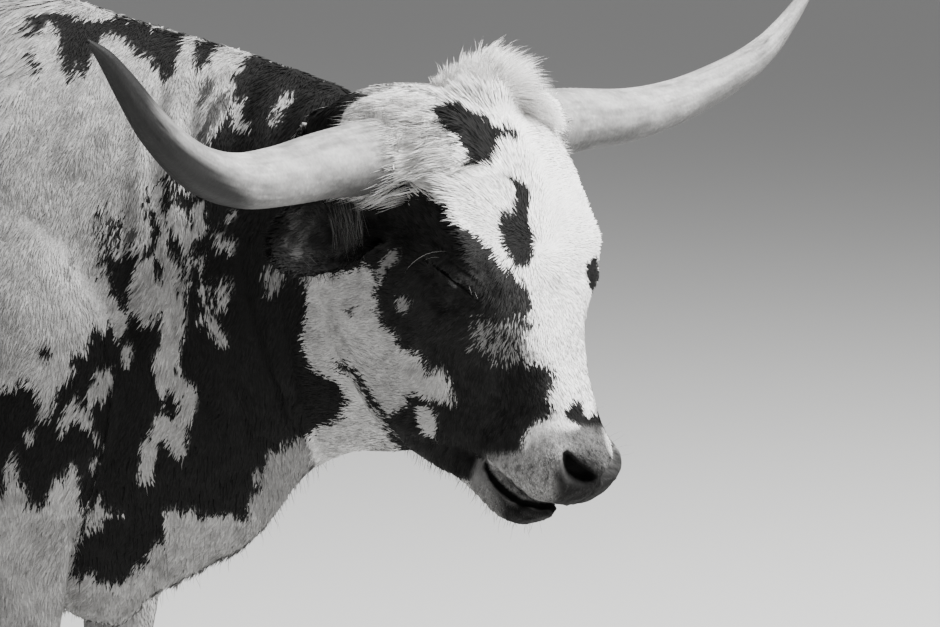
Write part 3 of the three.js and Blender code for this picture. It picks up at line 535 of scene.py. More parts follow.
def remeshed(points, faces):
    obj = link("merge", make_mesh("merge", stretch(points), faces))
    mod = obj.modifiers.new("merge", "REMESH")
    mod.mode = "VOXEL"
    mod.voxel_size = CELL
    mod.adaptivity = 0
    deps = bpy.context.evaluated_depsgraph_get()
    mesh = bpy.data.meshes.new_from_object(obj.evaluated_get(deps))
    bpy.data.objects.remove(obj)
    set_coords(mesh, stretch(coords(mesh), True))
    return mesh


def coords(mesh):
    co = np.zeros(len(mesh.vertices) * 3, np.float32)
    mesh.vertices.foreach_get("co", co)
    return co.reshape(-1, 3).astype(float)


def set_coords(mesh, points):
    mesh.vertices.foreach_set("co", points.astype(np.float32).reshape(-1))


def edges_of(mesh):
    e = np.zeros(len(mesh.edges) * 2, np.int32)
    mesh.edges.foreach_get("vertices", e)
    return e.reshape(-1, 2)


def neighbours_mean(x, e, count):
    out = np.zeros_like(x)
    for c in range(x.shape[1]):
        out[:, c] = np.bincount(e[:, 0], x[e[:, 1], c], len(x)) + np.bincount(e[:, 1], x[e[:, 0], c], len(x))
    return out / count[:, None]


def smooth(x, e, weight, times):
    count = np.maximum(np.bincount(e.reshape(-1), minlength=len(x)), 1)
    for _ in range(times):
        for k in (0.5, -0.53):
            x = x + (k * weight)[:, None] * (neighbours_mean(x, e, count) - x)
    return x


def triangles(mesh):
    mesh.calc_loop_triangles()
    t = np.zeros(len(mesh.loop_triangles) * 3, np.int32)
    mesh.loop_triangles.foreach_get("vertices", t)
    return t.reshape(-1, 3)


def normals(x, t):
    n = np.cross(x[t[:, 1]] - x[t[:, 0]], x[t[:, 2]] - x[t[:, 0]])
    out = np.zeros_like(x)
    for k in range(3):
        for c in range(3):
            out[:, c] += np.bincount(t[:, k], n[:, c], len(x))
    return unit(out)


# Where a point lies on the animal.
NAPE = vec(590, -78, 1272)
NAPE_DIR = AHEAD * math.cos(20 * RAD) + vec(0, 0, -math.sin(20 * RAD))


def near_axis(q):
    """Distance from the nearer horn's middle line, for points in head measures."""
    a = np.abs(q[:, 1])
    out = []
    for table in (HORN_RIGHT, HORN_LEFT):
        far, u, w = [r[1] for r in table], [r[0] for r in table], [r[2] for r in table]
        out.append(np.hypot(q[:, 0] - np.interp(a, far, u), q[:, 2] - np.interp(a, far, w)))
    return np.where(q[:, 1] < 0, out[0], out[1])


def zones(p):
    q = local(p)
    at_root = (near_axis(q) < 57) & (np.abs(q[:, 1]) < 164)
    z = {"q": q, "head": ease(((p - NAPE) @ NAPE_DIR + 25) / 50)}
    z["ear"] = np.zeros(len(p), bool)
    z["ear_side"] = np.zeros(len(p))
    z["ear_at"] = np.zeros((len(p), 3))
    for side in (-1, 1):
        base, along, across, face = ear_frame(side)
        e = np.stack([(p - base) @ along, (p - base) @ across, (p - base) @ face], -1)
        inside = (e[:, 0] > 16) & (e[:, 0] < 190) & (np.abs(e[:, 1]) < 58) & (np.abs(e[:, 2]) < 42) & ~at_root
        z["ear"] |= inside
        z["ear_side"][inside] = side
        z["ear_at"][inside] = e[inside]
    z["tail"] = (p[:, 0] < -1334) & (np.abs(p[:, 1]) < 45) & (p[:, 2] < 1300)
    z["leg"] = ease((620 - p[:, 2]) / 140) * ~z["tail"] * (z["head"] < 0.5)
    z["muzzle"] = z["head"] * ease((q[:, 0] - 415) / 30)
    z["s"] = along_spine(p)
    return z


def ear_faces(z):
    out = np.zeros((len(z["ear"]), 3))
    for side in (-1, 1):
        out[z["ear_side"] == side] = ear_frame(side)[3]
    return out


# Markings. Outlines are in pixels of the camera's picture; they are laid on the side that faces it.
# The cheek and throat greys are partly the fur's own grey, partly painted shade where the face's sides and the throat
# turn from the light.
WHITE, CHEEK, SHOULDER, THROAT_IN_SHADE, DARK, FACE_DARK = 0.80, 0.46, 0.33, 0.22, 0.012, 0.019
EYE_PATCH = [
    (386, 203), (405, 206), (417, 197), (436, 199), (450, 206), (455, 218), (466, 227), (481, 235),
    (492, 244), (505, 261),
    (519, 275), (528, 280), (530, 296), (528, 313), (533, 320), (521, 331), (528, 337), (523, 347),
    (528, 359), (543, 361),
    (552, 368), (550, 380), (543, 394), (551, 402), (550, 414), (536, 421), (530, 430), (524, 442),
    (525, 454), (512, 456),
    (483, 457), (480, 464), (478, 484), (454, 479), (430, 472), (412, 459), (402, 446), (390, 428),
    (381, 416), (366, 396),
    (354, 379), (340, 369), (337, 361), (347, 362), (364, 376), (373, 390), (385, 406), (392, 416),
    (407, 409), (409, 397),
    (419, 394), (447, 397), (455, 399), (449, 387), (450, 378), (440, 366), (428, 371), (426, 359),
    (417, 349), (400, 347),
    (397, 332), (385, 323), (381, 311), (376, 292), (383, 282), (374, 268), (360, 262), (352, 240),
    (356, 205), (372, 196),
]
MARKS = [
    # neck and shoulder
    ("neck", DARK, 3, [
        (250, 44), (270, 46), (300, 60), (352, 84), (400, 108), (420, 150), (408, 262), (362, 268),
        (335, 275), (313, 268),
        (307, 275), (310, 292), (308, 320), (306, 341), (309, 360), (316, 369), (330, 377), (345, 384), (352, 402),
        (342, 420), (325, 428), (300, 436), (277, 447), (266, 460), (260, 476), (264, 489), (249, 493), (249, 514),
        (233, 511), (216, 517), (203, 511), (187, 509), (172, 506), (165, 528), (153, 551), (142, 563), (134, 570),
        (122, 574), (111, 582), (92, 572), (82, 578), (72, 570), (76, 552), (78, 531), (85, 514), (80, 495),
        (79, 476),
        (73, 464), (69, 474), (54, 478), (46, 499), (38, 506), (29, 499), (27, 483), (18, 481), (19, 462),
        (14, 447),
        (4, 472), (8, 483), (-12, 500), (-60, 470), (-70, 400), (-30, 392), (0, 388), (17, 383), (27, 375),
        (36, 387),
        (41, 400), (40, 412), (50, 413), (57, 395), (60, 383), (73, 371), (71, 350), (86, 348), (92, 337),
        (93, 322),
        (99, 333), (111, 323), (122, 331), (132, 327), (134, 316), (145, 312), (153, 297), (163, 318), (163, 343),
        (157, 364), (159, 379), (168, 391), (178, 391), (184, 380), (178, 372), (181, 352), (190, 330), (191, 318),
        (183, 298), (178, 290), (184, 276), (190, 260), (188, 245), (192, 236), (200, 220), (196, 200), (190, 170),
        (207, 142), (219, 131), (226, 118), (236, 104), (234, 92), (238, 78), (243, 60)]),
    ("streak", SHOULDER, 2, [(203, 281), (212, 278), (218, 283), (224, 276), (231, 279), (230, 302),
        (220, 304), (212, 303),
        (212, 314), (220, 322), (228, 339), (224, 341), (212, 329), (203, 316), (200, 300)]),
    ("streak", SHOULDER, 2, [(193, 200), (206, 196), (212, 206), (206, 222), (194, 236), (184, 242),
        (181, 228), (189, 214)]),
    ("streak", SHOULDER, 2, [(228, 211), (237, 213), (230, 220), (228, 234), (235, 240), (234, 252),
        (226, 249), (216, 239),
        (212, 230), (220, 218)]),
    ("streak", 0.3, 3, [(196, 244), (205, 240), (208, 258), (203, 272), (197, 262)]),
    ("streak", SHOULDER, 2, [(157, 409), (172, 416), (178, 405), (184, 392), (184, 380), (196, 384),
        (201, 386), (193, 405),
        (189, 430), (184, 451), (174, 451), (166, 437), (159, 443), (157, 460), (149, 478), (142, 476), (141, 457),
        (143, 441), (153, 434), (155, 418)]),
    ("streak", SHOULDER, 2, [(99, 369), (107, 362), (115, 366), (111, 385), (107, 396), (92, 399), (88, 389),
        (98, 381)]),
    ("streak", 0.3, 2, [(122, 346), (130, 345), (128, 360), (123, 358)]),
    ("streak", SHOULDER, 2, [(61, 420), (71, 399), (77, 393), (80, 405), (88, 405), (94, 416), (92, 428), (86, 424),
        (79, 414), (71, 420), (63, 434)]),
    ("streak", SHOULDER, 2, [(27, 430), (36, 426), (36, 435), (29, 439)]),
    ("streak", 0.3, 2, [(92, 432), (101, 434), (103, 441), (94, 439)]),
    ("streak", 0.3, 2, [(96, 451), (98, 457), (94, 467), (91, 462)]),
    ("streak", 0.34, 3, [(90, 510), (98, 497), (107, 506), (122, 512), (103, 514), (94, 525), (84, 531),
        (90, 520)]),
    ("streak", 0.3, 2, [(235, 101), (247, 99), (243, 107), (247, 119), (254, 124), (243, 127), (235, 119)]),
    ("streak", 0.34, 3, [(283, 92), (291, 90), (295, 98), (287, 107), (276, 105)]),
    ("streak", 0.22, 3, [(272, 113), (285, 111), (283, 116), (274, 117)]),
    ("streak", 0.2, 4, [(267, 266), (278, 260), (292, 262), (284, 274), (270, 290), (264, 286)]),
    ("spot", DARK, 2, [(25, 14), (44, 11), (67, 10), (92, 19), (115, 17), (134, 18), (163, 27), (187, 35),
        (184, 50),
        (176, 71), (168, 75), (159, 67), (151, 55), (134, 46), (124, 34), (113, 29), (103, 33), (101, 42), (96, 52),
        (91, 63), (88, 73), (82, 71), (78, 63), (77, 77), (74, 82), (69, 72), (65, 59), (61, 48), (61, 36),
        (55, 23),
        (46, 21), (41, 36), (36, 34), (29, 21)]),
    ("spot", DARK, 2, [(27, 46), (33, 45), (38, 56), (46, 67), (43, 73), (38, 67), (31, 57)]),
    ("spot", DARK, 2, [(199, 42), (210, 36), (224, 40), (224, 48), (212, 59), (195, 71), (197, 57)]),
    ("spot", 0.08, 2, [(201, 82), (214, 75), (216, 80), (210, 92), (203, 99)]),
    ("spot", 0.08, 2, [(220, 90), (230, 88), (230, 99), (220, 107), (214, 122), (207, 142), (203, 140),
        (207, 119), (212, 103)]),
    ("spot", 0.05, 2, [(107, 216), (119, 213), (117, 226), (122, 234), (120, 243), (115, 245), (109, 230)]),
    ("spot", DARK, 2, [(104, 247), (119, 243), (122, 257), (128, 253), (138, 251), (141, 262), (134, 272),
        (132, 287),
        (130, 302), (124, 308), (119, 297), (113, 289), (111, 279), (104, 266), (107, 259)]),
    ("spot", 0.06, 2, [(130, 228), (142, 226), (140, 235), (132, 237)]),
    ("spot", DARK, 2, [(147, 213), (157, 209), (161, 222), (159, 239), (153, 243), (149, 255), (143, 257),
        (145, 245),
        (151, 235), (153, 222)]),
    ("spot", DARK, 2, [(161, 188), (168, 186), (170, 199), (166, 205), (162, 197)]),
    ("spot", DARK, 2, [(182, 191), (191, 191), (192, 214), (187, 216), (183, 205)]),
    ("spot", DARK, 2, [(172, 235), (180, 232), (186, 245), (184, 257), (176, 255), (170, 245)]),
    ("spot", DARK, 2, [(153, 260), (163, 258), (166, 266), (161, 276), (155, 270)]),
    ("spot", DARK, 2, [(42, 345), (48, 341), (53, 350), (50, 358), (41, 351)]),
    ("spot", 0.12, 3, [(71, 251), (75, 253), (71, 274), (67, 272)]),
    ("spot", 0.2, 6, [(96, 128), (106, 124), (110, 136), (104, 146), (96, 140)]),
    ("mix", DARK, 7, [(146, 180), (175, 168), (215, 186), (240, 190), (240, 300), (232, 345), (205, 345),
        (190, 305), (176, 270),
        (158, 262), (143, 235)]),
    ("mix", DARK, 7, [(98, 205), (128, 205), (132, 300), (108, 300)]),
    # head
    ("head", FACE_DARK, 5, EYE_PATCH),
    ("head", CHEEK, 2, [(420, 406), (430, 404), (438, 413), (438, 425), (436, 435), (428, 433), (421, 421)]),
    ("head", 0.25, 3, [(392, 250), (401, 247), (399, 261), (389, 271), (385, 281), (380, 270)]),
    ("head", 0.28, 3, [(399, 296), (406, 294), (413, 302), (408, 313), (401, 306)]),
    ("head_mix", 0.24, 9, [(476, 318), (530, 312), (530, 345), (532, 362), (500, 356), (474, 340)]),
    ("head", 0.07, 3, [(349, 308), (358, 305), (356, 313), (352, 315)]),
    ("head", DARK, 2, [(438, 108), (454, 110), (469, 113), (478, 118), (488, 127), (497, 123), (495, 132),
        (502, 139),
        (519, 141), (517, 147), (505, 153), (505, 161), (498, 170), (488, 168), (478, 161), (473, 153), (466, 148),
        (467, 141), (457, 134), (450, 122), (443, 116)]),
    ("head", DARK, 2, [(512, 185), (528, 192), (529, 208), (528, 223), (534, 234), (535, 246), (531, 258),
        (526, 266),
        (517, 264), (511, 254), (504, 242), (502, 230), (505, 218), (516, 215), (517, 199)]),
    ("head", DARK, 2, [(583, 262), (597, 254), (600, 275), (594, 294), (587, 286)]),
    ("head", DARK, 1.6, [(564, 406), (571, 397), (581, 399), (583, 413), (590, 416), (593, 409), (595, 416),
        (596, 400),
        (600, 404), (606, 425), (606, 434), (588, 435), (578, 432), (581, 425), (569, 421), (562, 414)]),
]
# Far side and the body behind the picture's frame: centre and half sizes of dark patches.
BLOTS = [
    (-60, -190, 1330, 90, 150, 60), (-330, -250, 1230, 150, 200, 85), (-640, -280, 1150, 190, 190, 120),
    (-430, -290, 900, 140, 120, 110), (-850, -260, 930, 150, 160, 130), (-1090, -220, 1190, 170, 160, 110),
    (-1170, -180, 880, 110, 160, 130), (-720, -250, 720, 150, 120, 60), (-190, -230, 720, 90, 120, 80),
    (100, 190, 1110, 150, 120, 170), (-230, 260, 1240, 170, 160, 100), (-560, 290, 1040, 230, 150, 150),
    (-980, 240, 1210, 170, 150, 110), (-900, 250, 830, 170, 150, 110), (-1220, 170, 1000, 110, 120, 140),
    (300, 150, 1150, 110, 120, 150), (430, 90, 1080, 130, 130, 190), (560, 20, 1050, 120, 120, 220),
    (290, 120, 860, 120, 90, 110), (-300, 280, 800, 130, 120, 70), (70, 200, 600, 40, 44, 60),
    (70, -190, 420, 34, 40, 40), (-1290, -180, 520, 40, 44, 60), (-1160, 190, 640, 60, 44, 60),
    (90, 185, 380, 34, 40, 50),
    (-1262, 185, 300, 26, 34, 34), (-1196, -180, 250, 24, 34, 34), (-1375, 0, 1120, 40, 40, 90),
]


# Pixels beyond which an outline is not measured.
EDGE_REACH = 26


def polygon_depth(pts, poly):
    """Pixels inside the outline; negative outside it, and never below -EDGE_REACH."""
    v = np.array(poly, float)
    lo, hi = v.min(0) - EDGE_REACH, v.max(0) + EDGE_REACH
    near = np.nonzero(((pts > lo) & (pts < hi)).all(1))[0]
    out = np.full(len(pts), -EDGE_REACH, float)
    if not len(near):
        return out
    for part in np.array_split(near, max(1, len(near) // 15000)):
        p = pts[part]
        a, b = v, np.roll(v, -1, 0)
        ab = b - a
        ap = p[:, None] - a
        t = np.clip((ap * ab).sum(-1) / (ab * ab).sum(-1), 0, 1)
        d = np.linalg.norm(ap - t[..., None] * ab, axis=-1).min(1)
        up = (a[:, 1] > p[:, 1:2]) != (b[:, 1] > p[:, 1:2])
        with np.errstate(all="ignore"):
            x = a[:, 0] + (p[:, 1:2] - a[:, 1]) * ab[:, 0] / ab[:, 1]
        inside = (up & (p[:, :1] < x)).sum(1) % 2 == 1
        out[part] = np.where(inside, d, -d)
    return out


MUZZLE = [(484, 451), (500, 452), (514, 452), (524, 449), (530, 442), (540, 434), (551, 429), (566, 427),
(590, 427),
    (604, 428), (616, 436), (626, 452), (628, 470), (624, 486), (612, 500), (590, 510), (556, 512),
    (536, 504), (518, 499),
    (504, 490), (492, 474)]
NOSE_DARK = [(559, 462), (563, 478), (567, 485), (577, 486), (590, 484), (601, 475), (612, 470), (624, 463),
(630, 470),
    (624, 486), (612, 500), (590, 509), (572, 514), (556, 513), (551, 503), (560, 494), (558, 480)]
NOSE_RIM_HIGHLIGHT = [(603, 427), (613, 430), (621, 443), (626, 458), (619, 466), (613, 461), (607, 446)]
NOSTRIL_HOLE = [(563, 454), (567, 451), (572, 455), (578, 462), (585, 467), (592, 472), (597, 477),
(593, 483), (585, 485),
    (577, 484), (569, 480), (564, 473), (562, 464)]
MOUTH_GAP = [(482, 455), (486, 458), (491, 470), (499, 480), (510, 490), (522, 498), (540, 502), (560, 504),
(566, 508),
    (556, 511), (540, 510), (524, 507), (511, 501), (499, 492), (490, 481), (484, 468)]
LIP_INNER = [(514, 500), (524, 503), (532, 508), (546, 511), (556, 512), (552, 518), (538, 518), (524, 514),
(515, 507)]
LOWER_LIP = [(480, 458), (484, 470), (492, 484), (510, 500), (534, 510), (560, 510), (566, 520), (540, 532),
(500, 530),
    (470, 510), (470, 480)]
EYE_LINE = [(426, 260), (437, 267), (447, 274.5), (460, 284), (470, 292.5), (479, 301)]


def mirrored_pixel(p, q):
    return pixel(p - 2 * HEAD_SCALE * q[:, 1:2] * LEFT)


def face_pixel(p, q, middle=2.0):
    """Pixel of a point of the face, the far side taken by its mirror point on the near side."""
    return np.where((q[:, 1] > middle)[:, None], mirrored_pixel(p, q), pixel(p))


def line_distance(at, line):
    """Signed distance (below is positive) to a polyline, and the place along it from 0 to 1."""
    pts = np.array(line, float)
    best = np.full(len(at), 1e9)
    sign, place = np.zeros(len(at)), np.zeros(len(at))
    for i in range(len(pts) - 1):
        ab = pts[i + 1] - pts[i]
        t = ((at - pts[i]) @ ab) / (ab @ ab)
        k = np.clip(t, 0, 1)
        d = np.linalg.norm(at - pts[i] - k[:, None] * ab, axis=1)
        closer = d < best
        best = np.where(closer, d, best)
        cross = ab[0] * (at[:, 1] - pts[i][1]) - ab[1] * (at[:, 0] - pts[i][0])
        sign = np.where(closer, np.sign(cross), sign)
        place = np.where(closer, (i + np.clip(t, -3, 4)) / (len(pts) - 1), place)
    return best * sign, place


def paint(p, n, dice, z):
    """Grey of the coat or skin at points p (mm) with normals n; dice in 0..1 lets a border fray hair by hair."""
    q = z["q"]
    is_head = z["head"] > 0.5
    facing = ((CAM_AT - p) * n).sum(1) / np.linalg.norm(CAM_AT - p, axis=1)
    fray = noise(p, 22, 3) * 9 - 4.5 + noise(p, 7, 4) * 5 - 2.5
    seen = facing + 0.012 * fray > -0.05
    mirrored = p - 2 * HEAD_SCALE * q[:, 1:2] * LEFT
    at = np.where((is_head & ~seen)[:, None], pixel(mirrored), pixel(p))
    # white on the face's front, greyer down the cheeks: partly greyer cheek fur, partly painted shade on the sides
    # turned from the light
    tone = np.where(is_head, WHITE + (CHEEK - WHITE) * ease((-q[:, 2] - 60) / 90), SHOULDER)
    pepper = 0.55 * (noise(p, 15, 5) - 0.5) + 0.5 * (noise(p, 5, 6) - 0.5) + 0.3 * (noise(p, 70, 7) - 0.5)
    # forehead locks: the darker streaks between them are painted shade between the locks
    strands_of = noise(q * vec(1, 0.22, 1), 5, 19) - 0.5
    wavy = is_head * ease((165 - q[:, 0]) / 60) * ease((30 - q[:, 1]) / 60)
    tone = tone * (1 + np.where(is_head, 0.35 + 0.5 * ease((-q[:, 2] - 60) / 60), 1.0) * pepper)
    tone = tone * (1 + 0.75 * wavy * strands_of - 0.12 * wavy)
    # low on the front of the neck: light grey fur, darkened further as painted shade under the neck
    tone = np.where(~is_head & (z["s"] > 330) & (p[:, 2] < 960), THROAT_IN_SHADE, tone)
    near_root = is_head & (q[:, 0] < 104) & (q[:, 2] > -112) & (q[:, 0] - 0.25 * q[:, 2] < 112)
    front = p[:, 0] > -60
    use = (seen & front) | is_head
    streaky = 22 * (noise(p * vec(1, 1, 0.3), 11, 17) - 0.5) * ~is_head
    hairline = noise(np.where(is_head[:, None], p, p * vec(1, 1, 0.3)), 6, 18)
    streaky *= ease((at[:, 0] - 80) / 20) * ease((290 - at[:, 0]) / 20)
    for kind, value, soft, poly in MARKS:
        on_head = kind.startswith("head")
        live = use & (is_head if on_head else seen)
        if not on_head:
            live = live & ~(is_head & ((q[:, 1] > 20) | near_root))
        i = np.nonzero(live)[0]
        d = polygon_depth(at[i], poly) + fray[i] * (0.5 if len(poly) > 12 else 0.25)
        d += streaky[i] * (1.0 if kind == "neck" else 0.35)
        m = ease(0.5 + d / (2 * soft * (1 if on_head else 1.8)))
        if kind == "mix":
            m *= 0.85 * ease((hairline[i] - 0.5) / 0.22)
        if kind == "head_mix":
            m *= 0.25 + 0.5 * hairline[i]
        m = np.where(dice[i] >= 0, (dice[i] < m).astype(float), m)
        if value == FACE_DARK:
            value = FACE_DARK * (1 + 1.1 * pepper[i] + 0.9 * (noise(p[i], 3.2, 23) - 0.5))
        tone[i] = tone[i] + (value - tone[i]) * m
    i = np.nonzero(~is_head & ~(seen & front))[0]
    rough = noise(p[i], 60, 8) - 0.5 + 0.5 * (noise(p[i], 22, 9) - 0.5)
    best = np.full(len(i), -9.0)
    for x, y, h, rx, ry, rz in BLOTS:
        best = np.maximum(best, 1 - np.linalg.norm((p[i] - vec(x, y, h)) / vec(rx, ry, rz), axis=1))
    best = np.maximum(best, (noise(p[i], 46, 12) - 0.86) * 1.4)
    m = ease(0.5 + (best + 0.75 * rough) / 0.08)
    m = np.where(dice[i] >= 0, (dice[i] < m).astype(float), m)
    tone[i] += (DARK - tone[i]) * m
    # the closed eye's slit, darkened as painted shade, and the lid over it, lightened as a painted highlight
    i = np.nonzero(is_head & (np.abs(np.abs(q[:, 1]) - 90) < 40) & (np.abs(q[:, 0] - 219) < 80) & (q[:, 2] > -110))[0]
    below, place = line_distance(face_pixel(p[i], q[i]), EYE_LINE)
    shut = ease((place + 0.05) / 0.1) * ease((1.1 - place) / 0.15)
    tone[i] *= 1 - 0.85 * shut * np.exp(-(((below - 0.4) / 2.2) ** 2))
    tone[i] *= 1 + 0.9 * shut * np.exp(-(((below + 4.6) / 2.0) ** 2)) * ease((0.75 - place) / 0.3)
    # ears are dark, with paler skin in the cup
    ear = z["ear"]
    e = z["ear_at"][ear]
    cup = ease((36 - np.abs(e[:, 1])) / 12) * ease((e[:, 2] + 34) / 8) * ease((150 - e[:, 0]) / 30)
    cup = cup * ((n[ear] * ear_faces(z)[ear]).sum(1) > 0.2)
    tone[ear] = 0.012 + cup * (0.02 + 0.07 * ease((noise(p[ear], 17, 22) - 0.3) / 0.5) * (0.5 + noise(p[ear], 6, 24)))
    # muzzle
    i = np.nonzero(is_head & (q[:, 0] > 380))[0]
    beyond = (q[i, 1] > 14) & ~((q[i, 1] < 36) & (facing[i] > 0.1))
    face = np.where(beyond[:, None], mirrored_pixel(p[i], q[i]), pixel(p[i]))
    speck = noise(p[i], 2.4, 20)
    mottle = noise(p[i], 9, 21)

    def lay(poly, soft, value, only=True, ragged=0.35):
        m = ease(0.5 + (polygon_depth(face, poly) + ragged * fray[i]) / (2 * soft)) * only
        tone[i] += (value - tone[i]) * m

    tall = ease((458 - face[:, 1]) / 26) * ease((face[:, 0] - 540) / 30)
    beside = ease((576 - face[:, 0]) / 22)
    grey = (0.09 + 0.05 * tall) * (1 - beside) + 0.3 * beside
    grey *= 1 + 0.6 * (mottle - 0.5) - 0.5 * ease((speck - 0.58) / 0.12)
    # darker round the nostril: painted shade about its hole
    grey *= 1 - 0.7 * ease((34 - np.hypot(face[:, 0] - 578, face[:, 1] - 476)) / 20)
    grey *= 1 - 0.6 * ease((face[:, 1] + 0.35 * face[:, 0] - 668) / 26)
    grey *= 1 - 0.6 * ease((462 - face[:, 1]) / 12) * ease((528 - face[:, 0]) / 20)
    lay(MUZZLE, 6, grey)
    # the pale upper rim of the nose pad is a painted highlight
    lay(NOSE_RIM_HIGHLIGHT, 3, 0.75, True, 0.3)
    lay(NOSE_DARK, 7, 0.012 + 0.015 * ease((speck - 0.6) / 0.2), True, 0.8)
    lay(LOWER_LIP, 4, (0.02 + 0.18 * ease((508 - face[:, 0]) / 20)) * (0.7 + 0.6 * mottle), q[i, 2] < -118)
    lay(LIP_INNER, 3, 0.04)
    # near black in the mouth's gap and the nostril's hole: painted shade in these recesses
    lay(MOUTH_GAP, 1.6, 0.008, q[i, 0] > 388, 0.1)
    lay(NOSTRIL_HOLE, 4, 0.006, q[i, 0] > 430, 0.1)
    return tone


# Skin.
def skin_solids():
    us = np.linspace(-60, 493, 124)
    parts = [trunk(), tail(), head_loft(SKULL, us, 112, 0 * us)]
    parts += [leg(*one) for one in LEGS]
    us = np.linspace(250, 487, 56)
    parts.append(head_loft(JAW, us, 72, JAW_SHIFT * ease((us - 330) / 120)))
    parts += [collar(HORN_RIGHT, -1), collar(HORN_LEFT, 1), ball(MOP_AT, AXES, MOP_HALF)]
    for side in (-1, 1):
        along, across, outward = eye_axes(side)
        c = eye_at(side) - 4 * along
        parts += [ball(c, [along, across, outward], LIDS), ear(side)]
    return joined(parts)


def refine(mesh, regions):
    bm = bmesh.new()
    bm.from_mesh(mesh)
    x = np.array([v.co for v in bm.verts])
    pick = np.zeros(len(x), bool)
    for c, r in regions:
        pick |= np.linalg.norm(x - c, axis=1) < r
    chosen = [e for e in bm.edges if pick[e.verts[0].index] and pick[e.verts[1].index]]
    bmesh.ops.subdivide_edges(bm, edges=chosen, cuts=1, use_grid_fill=True)
    bm.to_mesh(mesh)
    bm.free()


NECK_FOLDS = [(225, 7), (276, 9), (330, 8), (392, 9), (444, 7), (492, 8), (548, 5)]
FOLD_WIDTH = 15


def inset_depth(x, z):
    q = z["q"]
    deep = np.where(z["head"] > 0.5, 2.5 + 3 * ease((110 - q[:, 0]) / 70), 5.5)
    deep = deep + (6 - deep) * (z["head"] < 0.5) * ease((x[:, 2] - 600) / 100)
    deep = np.where(z["leg"] > 0.5, 2.5, deep)
    deep = np.where(z["tail"], 3, deep)
    near = z["ear_at"][:, 0]
    deep = np.where(z["ear"], 2.5 * (1 - ease((near - 10) / 30)), deep)
    return deep


def sculpt(x, n, z):
    q = z["q"]
    off = np.zeros(len(x))
    # folds down the neck, strongest on its sides
    s = z["s"] + 60 * (noise(x, 170, 31) - 0.5) + 0.12 * (x[:, 2] - 1000)
    neck = (1 - z["head"]) * ease((z["s"] - 190) / 60)
    tall = ease((x[:, 2] - 740) / 120) * (1 - ease((x[:, 2] - 1215) / 90))
    for at, deep in NECK_FOLDS:
        d = (s - at) / FOLD_WIDTH
        off += neck * tall * deep * (0.05 + 1.05 * noise(x, 75, 41)) * (
            0.35 * np.exp(-((np.abs(d) - 1.6) ** 2)) - np.exp(-d * d)
        )
    low = neck * (1 - ease((x[:, 2] - 930) / 80)) * ease((x[:, 2] - 700) / 60)
    off += low * 5 * (noise(x * vec(1, 1, 0.35), 17, 33) - 0.5)
    # ribs, barely
    rib = ease((x[:, 0] + 820) / 120) * (1 - ease((x[:, 0] + 330) / 120)) * ease((x[:, 2] - 760) / 90)
    off += rib * (1 - ease((x[:, 2] - 1180) / 70)) * 0.8 * np.cos(
        (x[:, 0] + 0.45 * x[:, 2] + 30 * noise(x, 160, 40)) * 2 * math.pi / 82
    )
    # slack skin elsewhere on the body
    body = (1 - z["head"]) * (1 - z["leg"]) * ~z["tail"]
    off += body * (3.5 * (noise(x, 95, 34) - 0.5) + 1.8 * (noise(x, 38, 35) - 0.5))
    # head: veins and uneven flesh
    off += z["head"] * ~z["ear"] * (1.6 * (noise(x, 34, 36) - 0.5) + 0.8 * (noise(x, 13, 37) - 0.5))
    move = off[:, None] * n
    face = face_pixel(x, q)
    below, place = line_distance(face, EYE_LINE)
    shut = ease(place / 0.12) * ease((1 - place) / 0.15)
    for side in (-1, 1):
        along, _, outward = eye_axes(side)
        d = x - eye_at(side)
        a = d @ along
        near = ease((80 - np.linalg.norm(d, axis=1)) / 25) * (q[:, 1] * side > 0)
        round_ = np.sqrt(np.clip(1 - (a / 50) ** 2, 0, 1))
        lift = -5 * shut * np.exp(-((below / 1.5) ** 2))
        lift += 3.4 * shut * np.exp(-(((below + 5) / 4.2) ** 2))
        lift -= 3.6 * shut * np.exp(-(((below - 7) / 5) ** 2))
        lift += 1.2 * shut * np.exp(-(((below - 2.6) / 1.3) ** 2))
        for at, deep, w in (
            (-13, 2.4, 2.2), (-20, 1.7, 2.6), (-27, 1.2, 3), (14, 1.6, 2), (20, 1.4, 2.2), (27, 1.1, 2.6)
        ):
            lift -= deep * np.exp(-(((below - at * (0.6 + 0.4 * round_)) / w) ** 2)) * round_
        lift -= 2.5 * np.exp(-((below / 3.5) ** 2)) * ease((place - 0.9) / 0.1) * ease((1.5 - place) / 0.5)
        move += (near * lift)[:, None] * outward
        c0 = nostril_at(side)
        inward = head_dir(-0.62, side * -0.5, -0.55)
        near = ease((48 - np.linalg.norm(x - c0, axis=1)) / 12) * (q[:, 1] * side > 0)
        deep = polygon_depth(face, NOSTRIL_HOLE)
        hole = 17 * ease((deep + 2) / 8) * near
        rim = 1.3 * np.exp(-(((deep + 6) / 4) ** 2)) * near
        move += (hole - rim)[:, None] * inward
    # lips: the gap between muzzle and jaw, the pad over it rounded
    gap = polygon_depth(face, MOUTH_GAP)
    lips = z["head"] * ease((q[:, 0] - 380) / 14) * (q[:, 2] < -100)
    move += (lips * -5 * ease((gap + 1.2) / 3))[:, None] * n
    move += (lips * 1.8 * np.exp(-(((gap + 4) / 2.6) ** 2)))[:, None] * n
    u, a, w = q.T
    pad = z["head"] * ease((u - 440) / 14) * (w > -112) * (np.abs(a) < 34)
    split = np.exp(-((a / 2.2) ** 2))
    move += (pad * (-1.6 * split + 0.9 * (noise(x, 5.2, 38) - 0.5)))[:, None] * n
    side_muzzle = z["head"] * ease((u - 400) / 16) * (1 - ease((u - 470) / 12)) * (w < -60)
    crease = np.sin((w + 0.5 * u + 8 * noise(x, 22, 39)) * 2 * math.pi / 12)
    move += (side_muzzle * 0.9 * crease)[:, None] * n
    return move


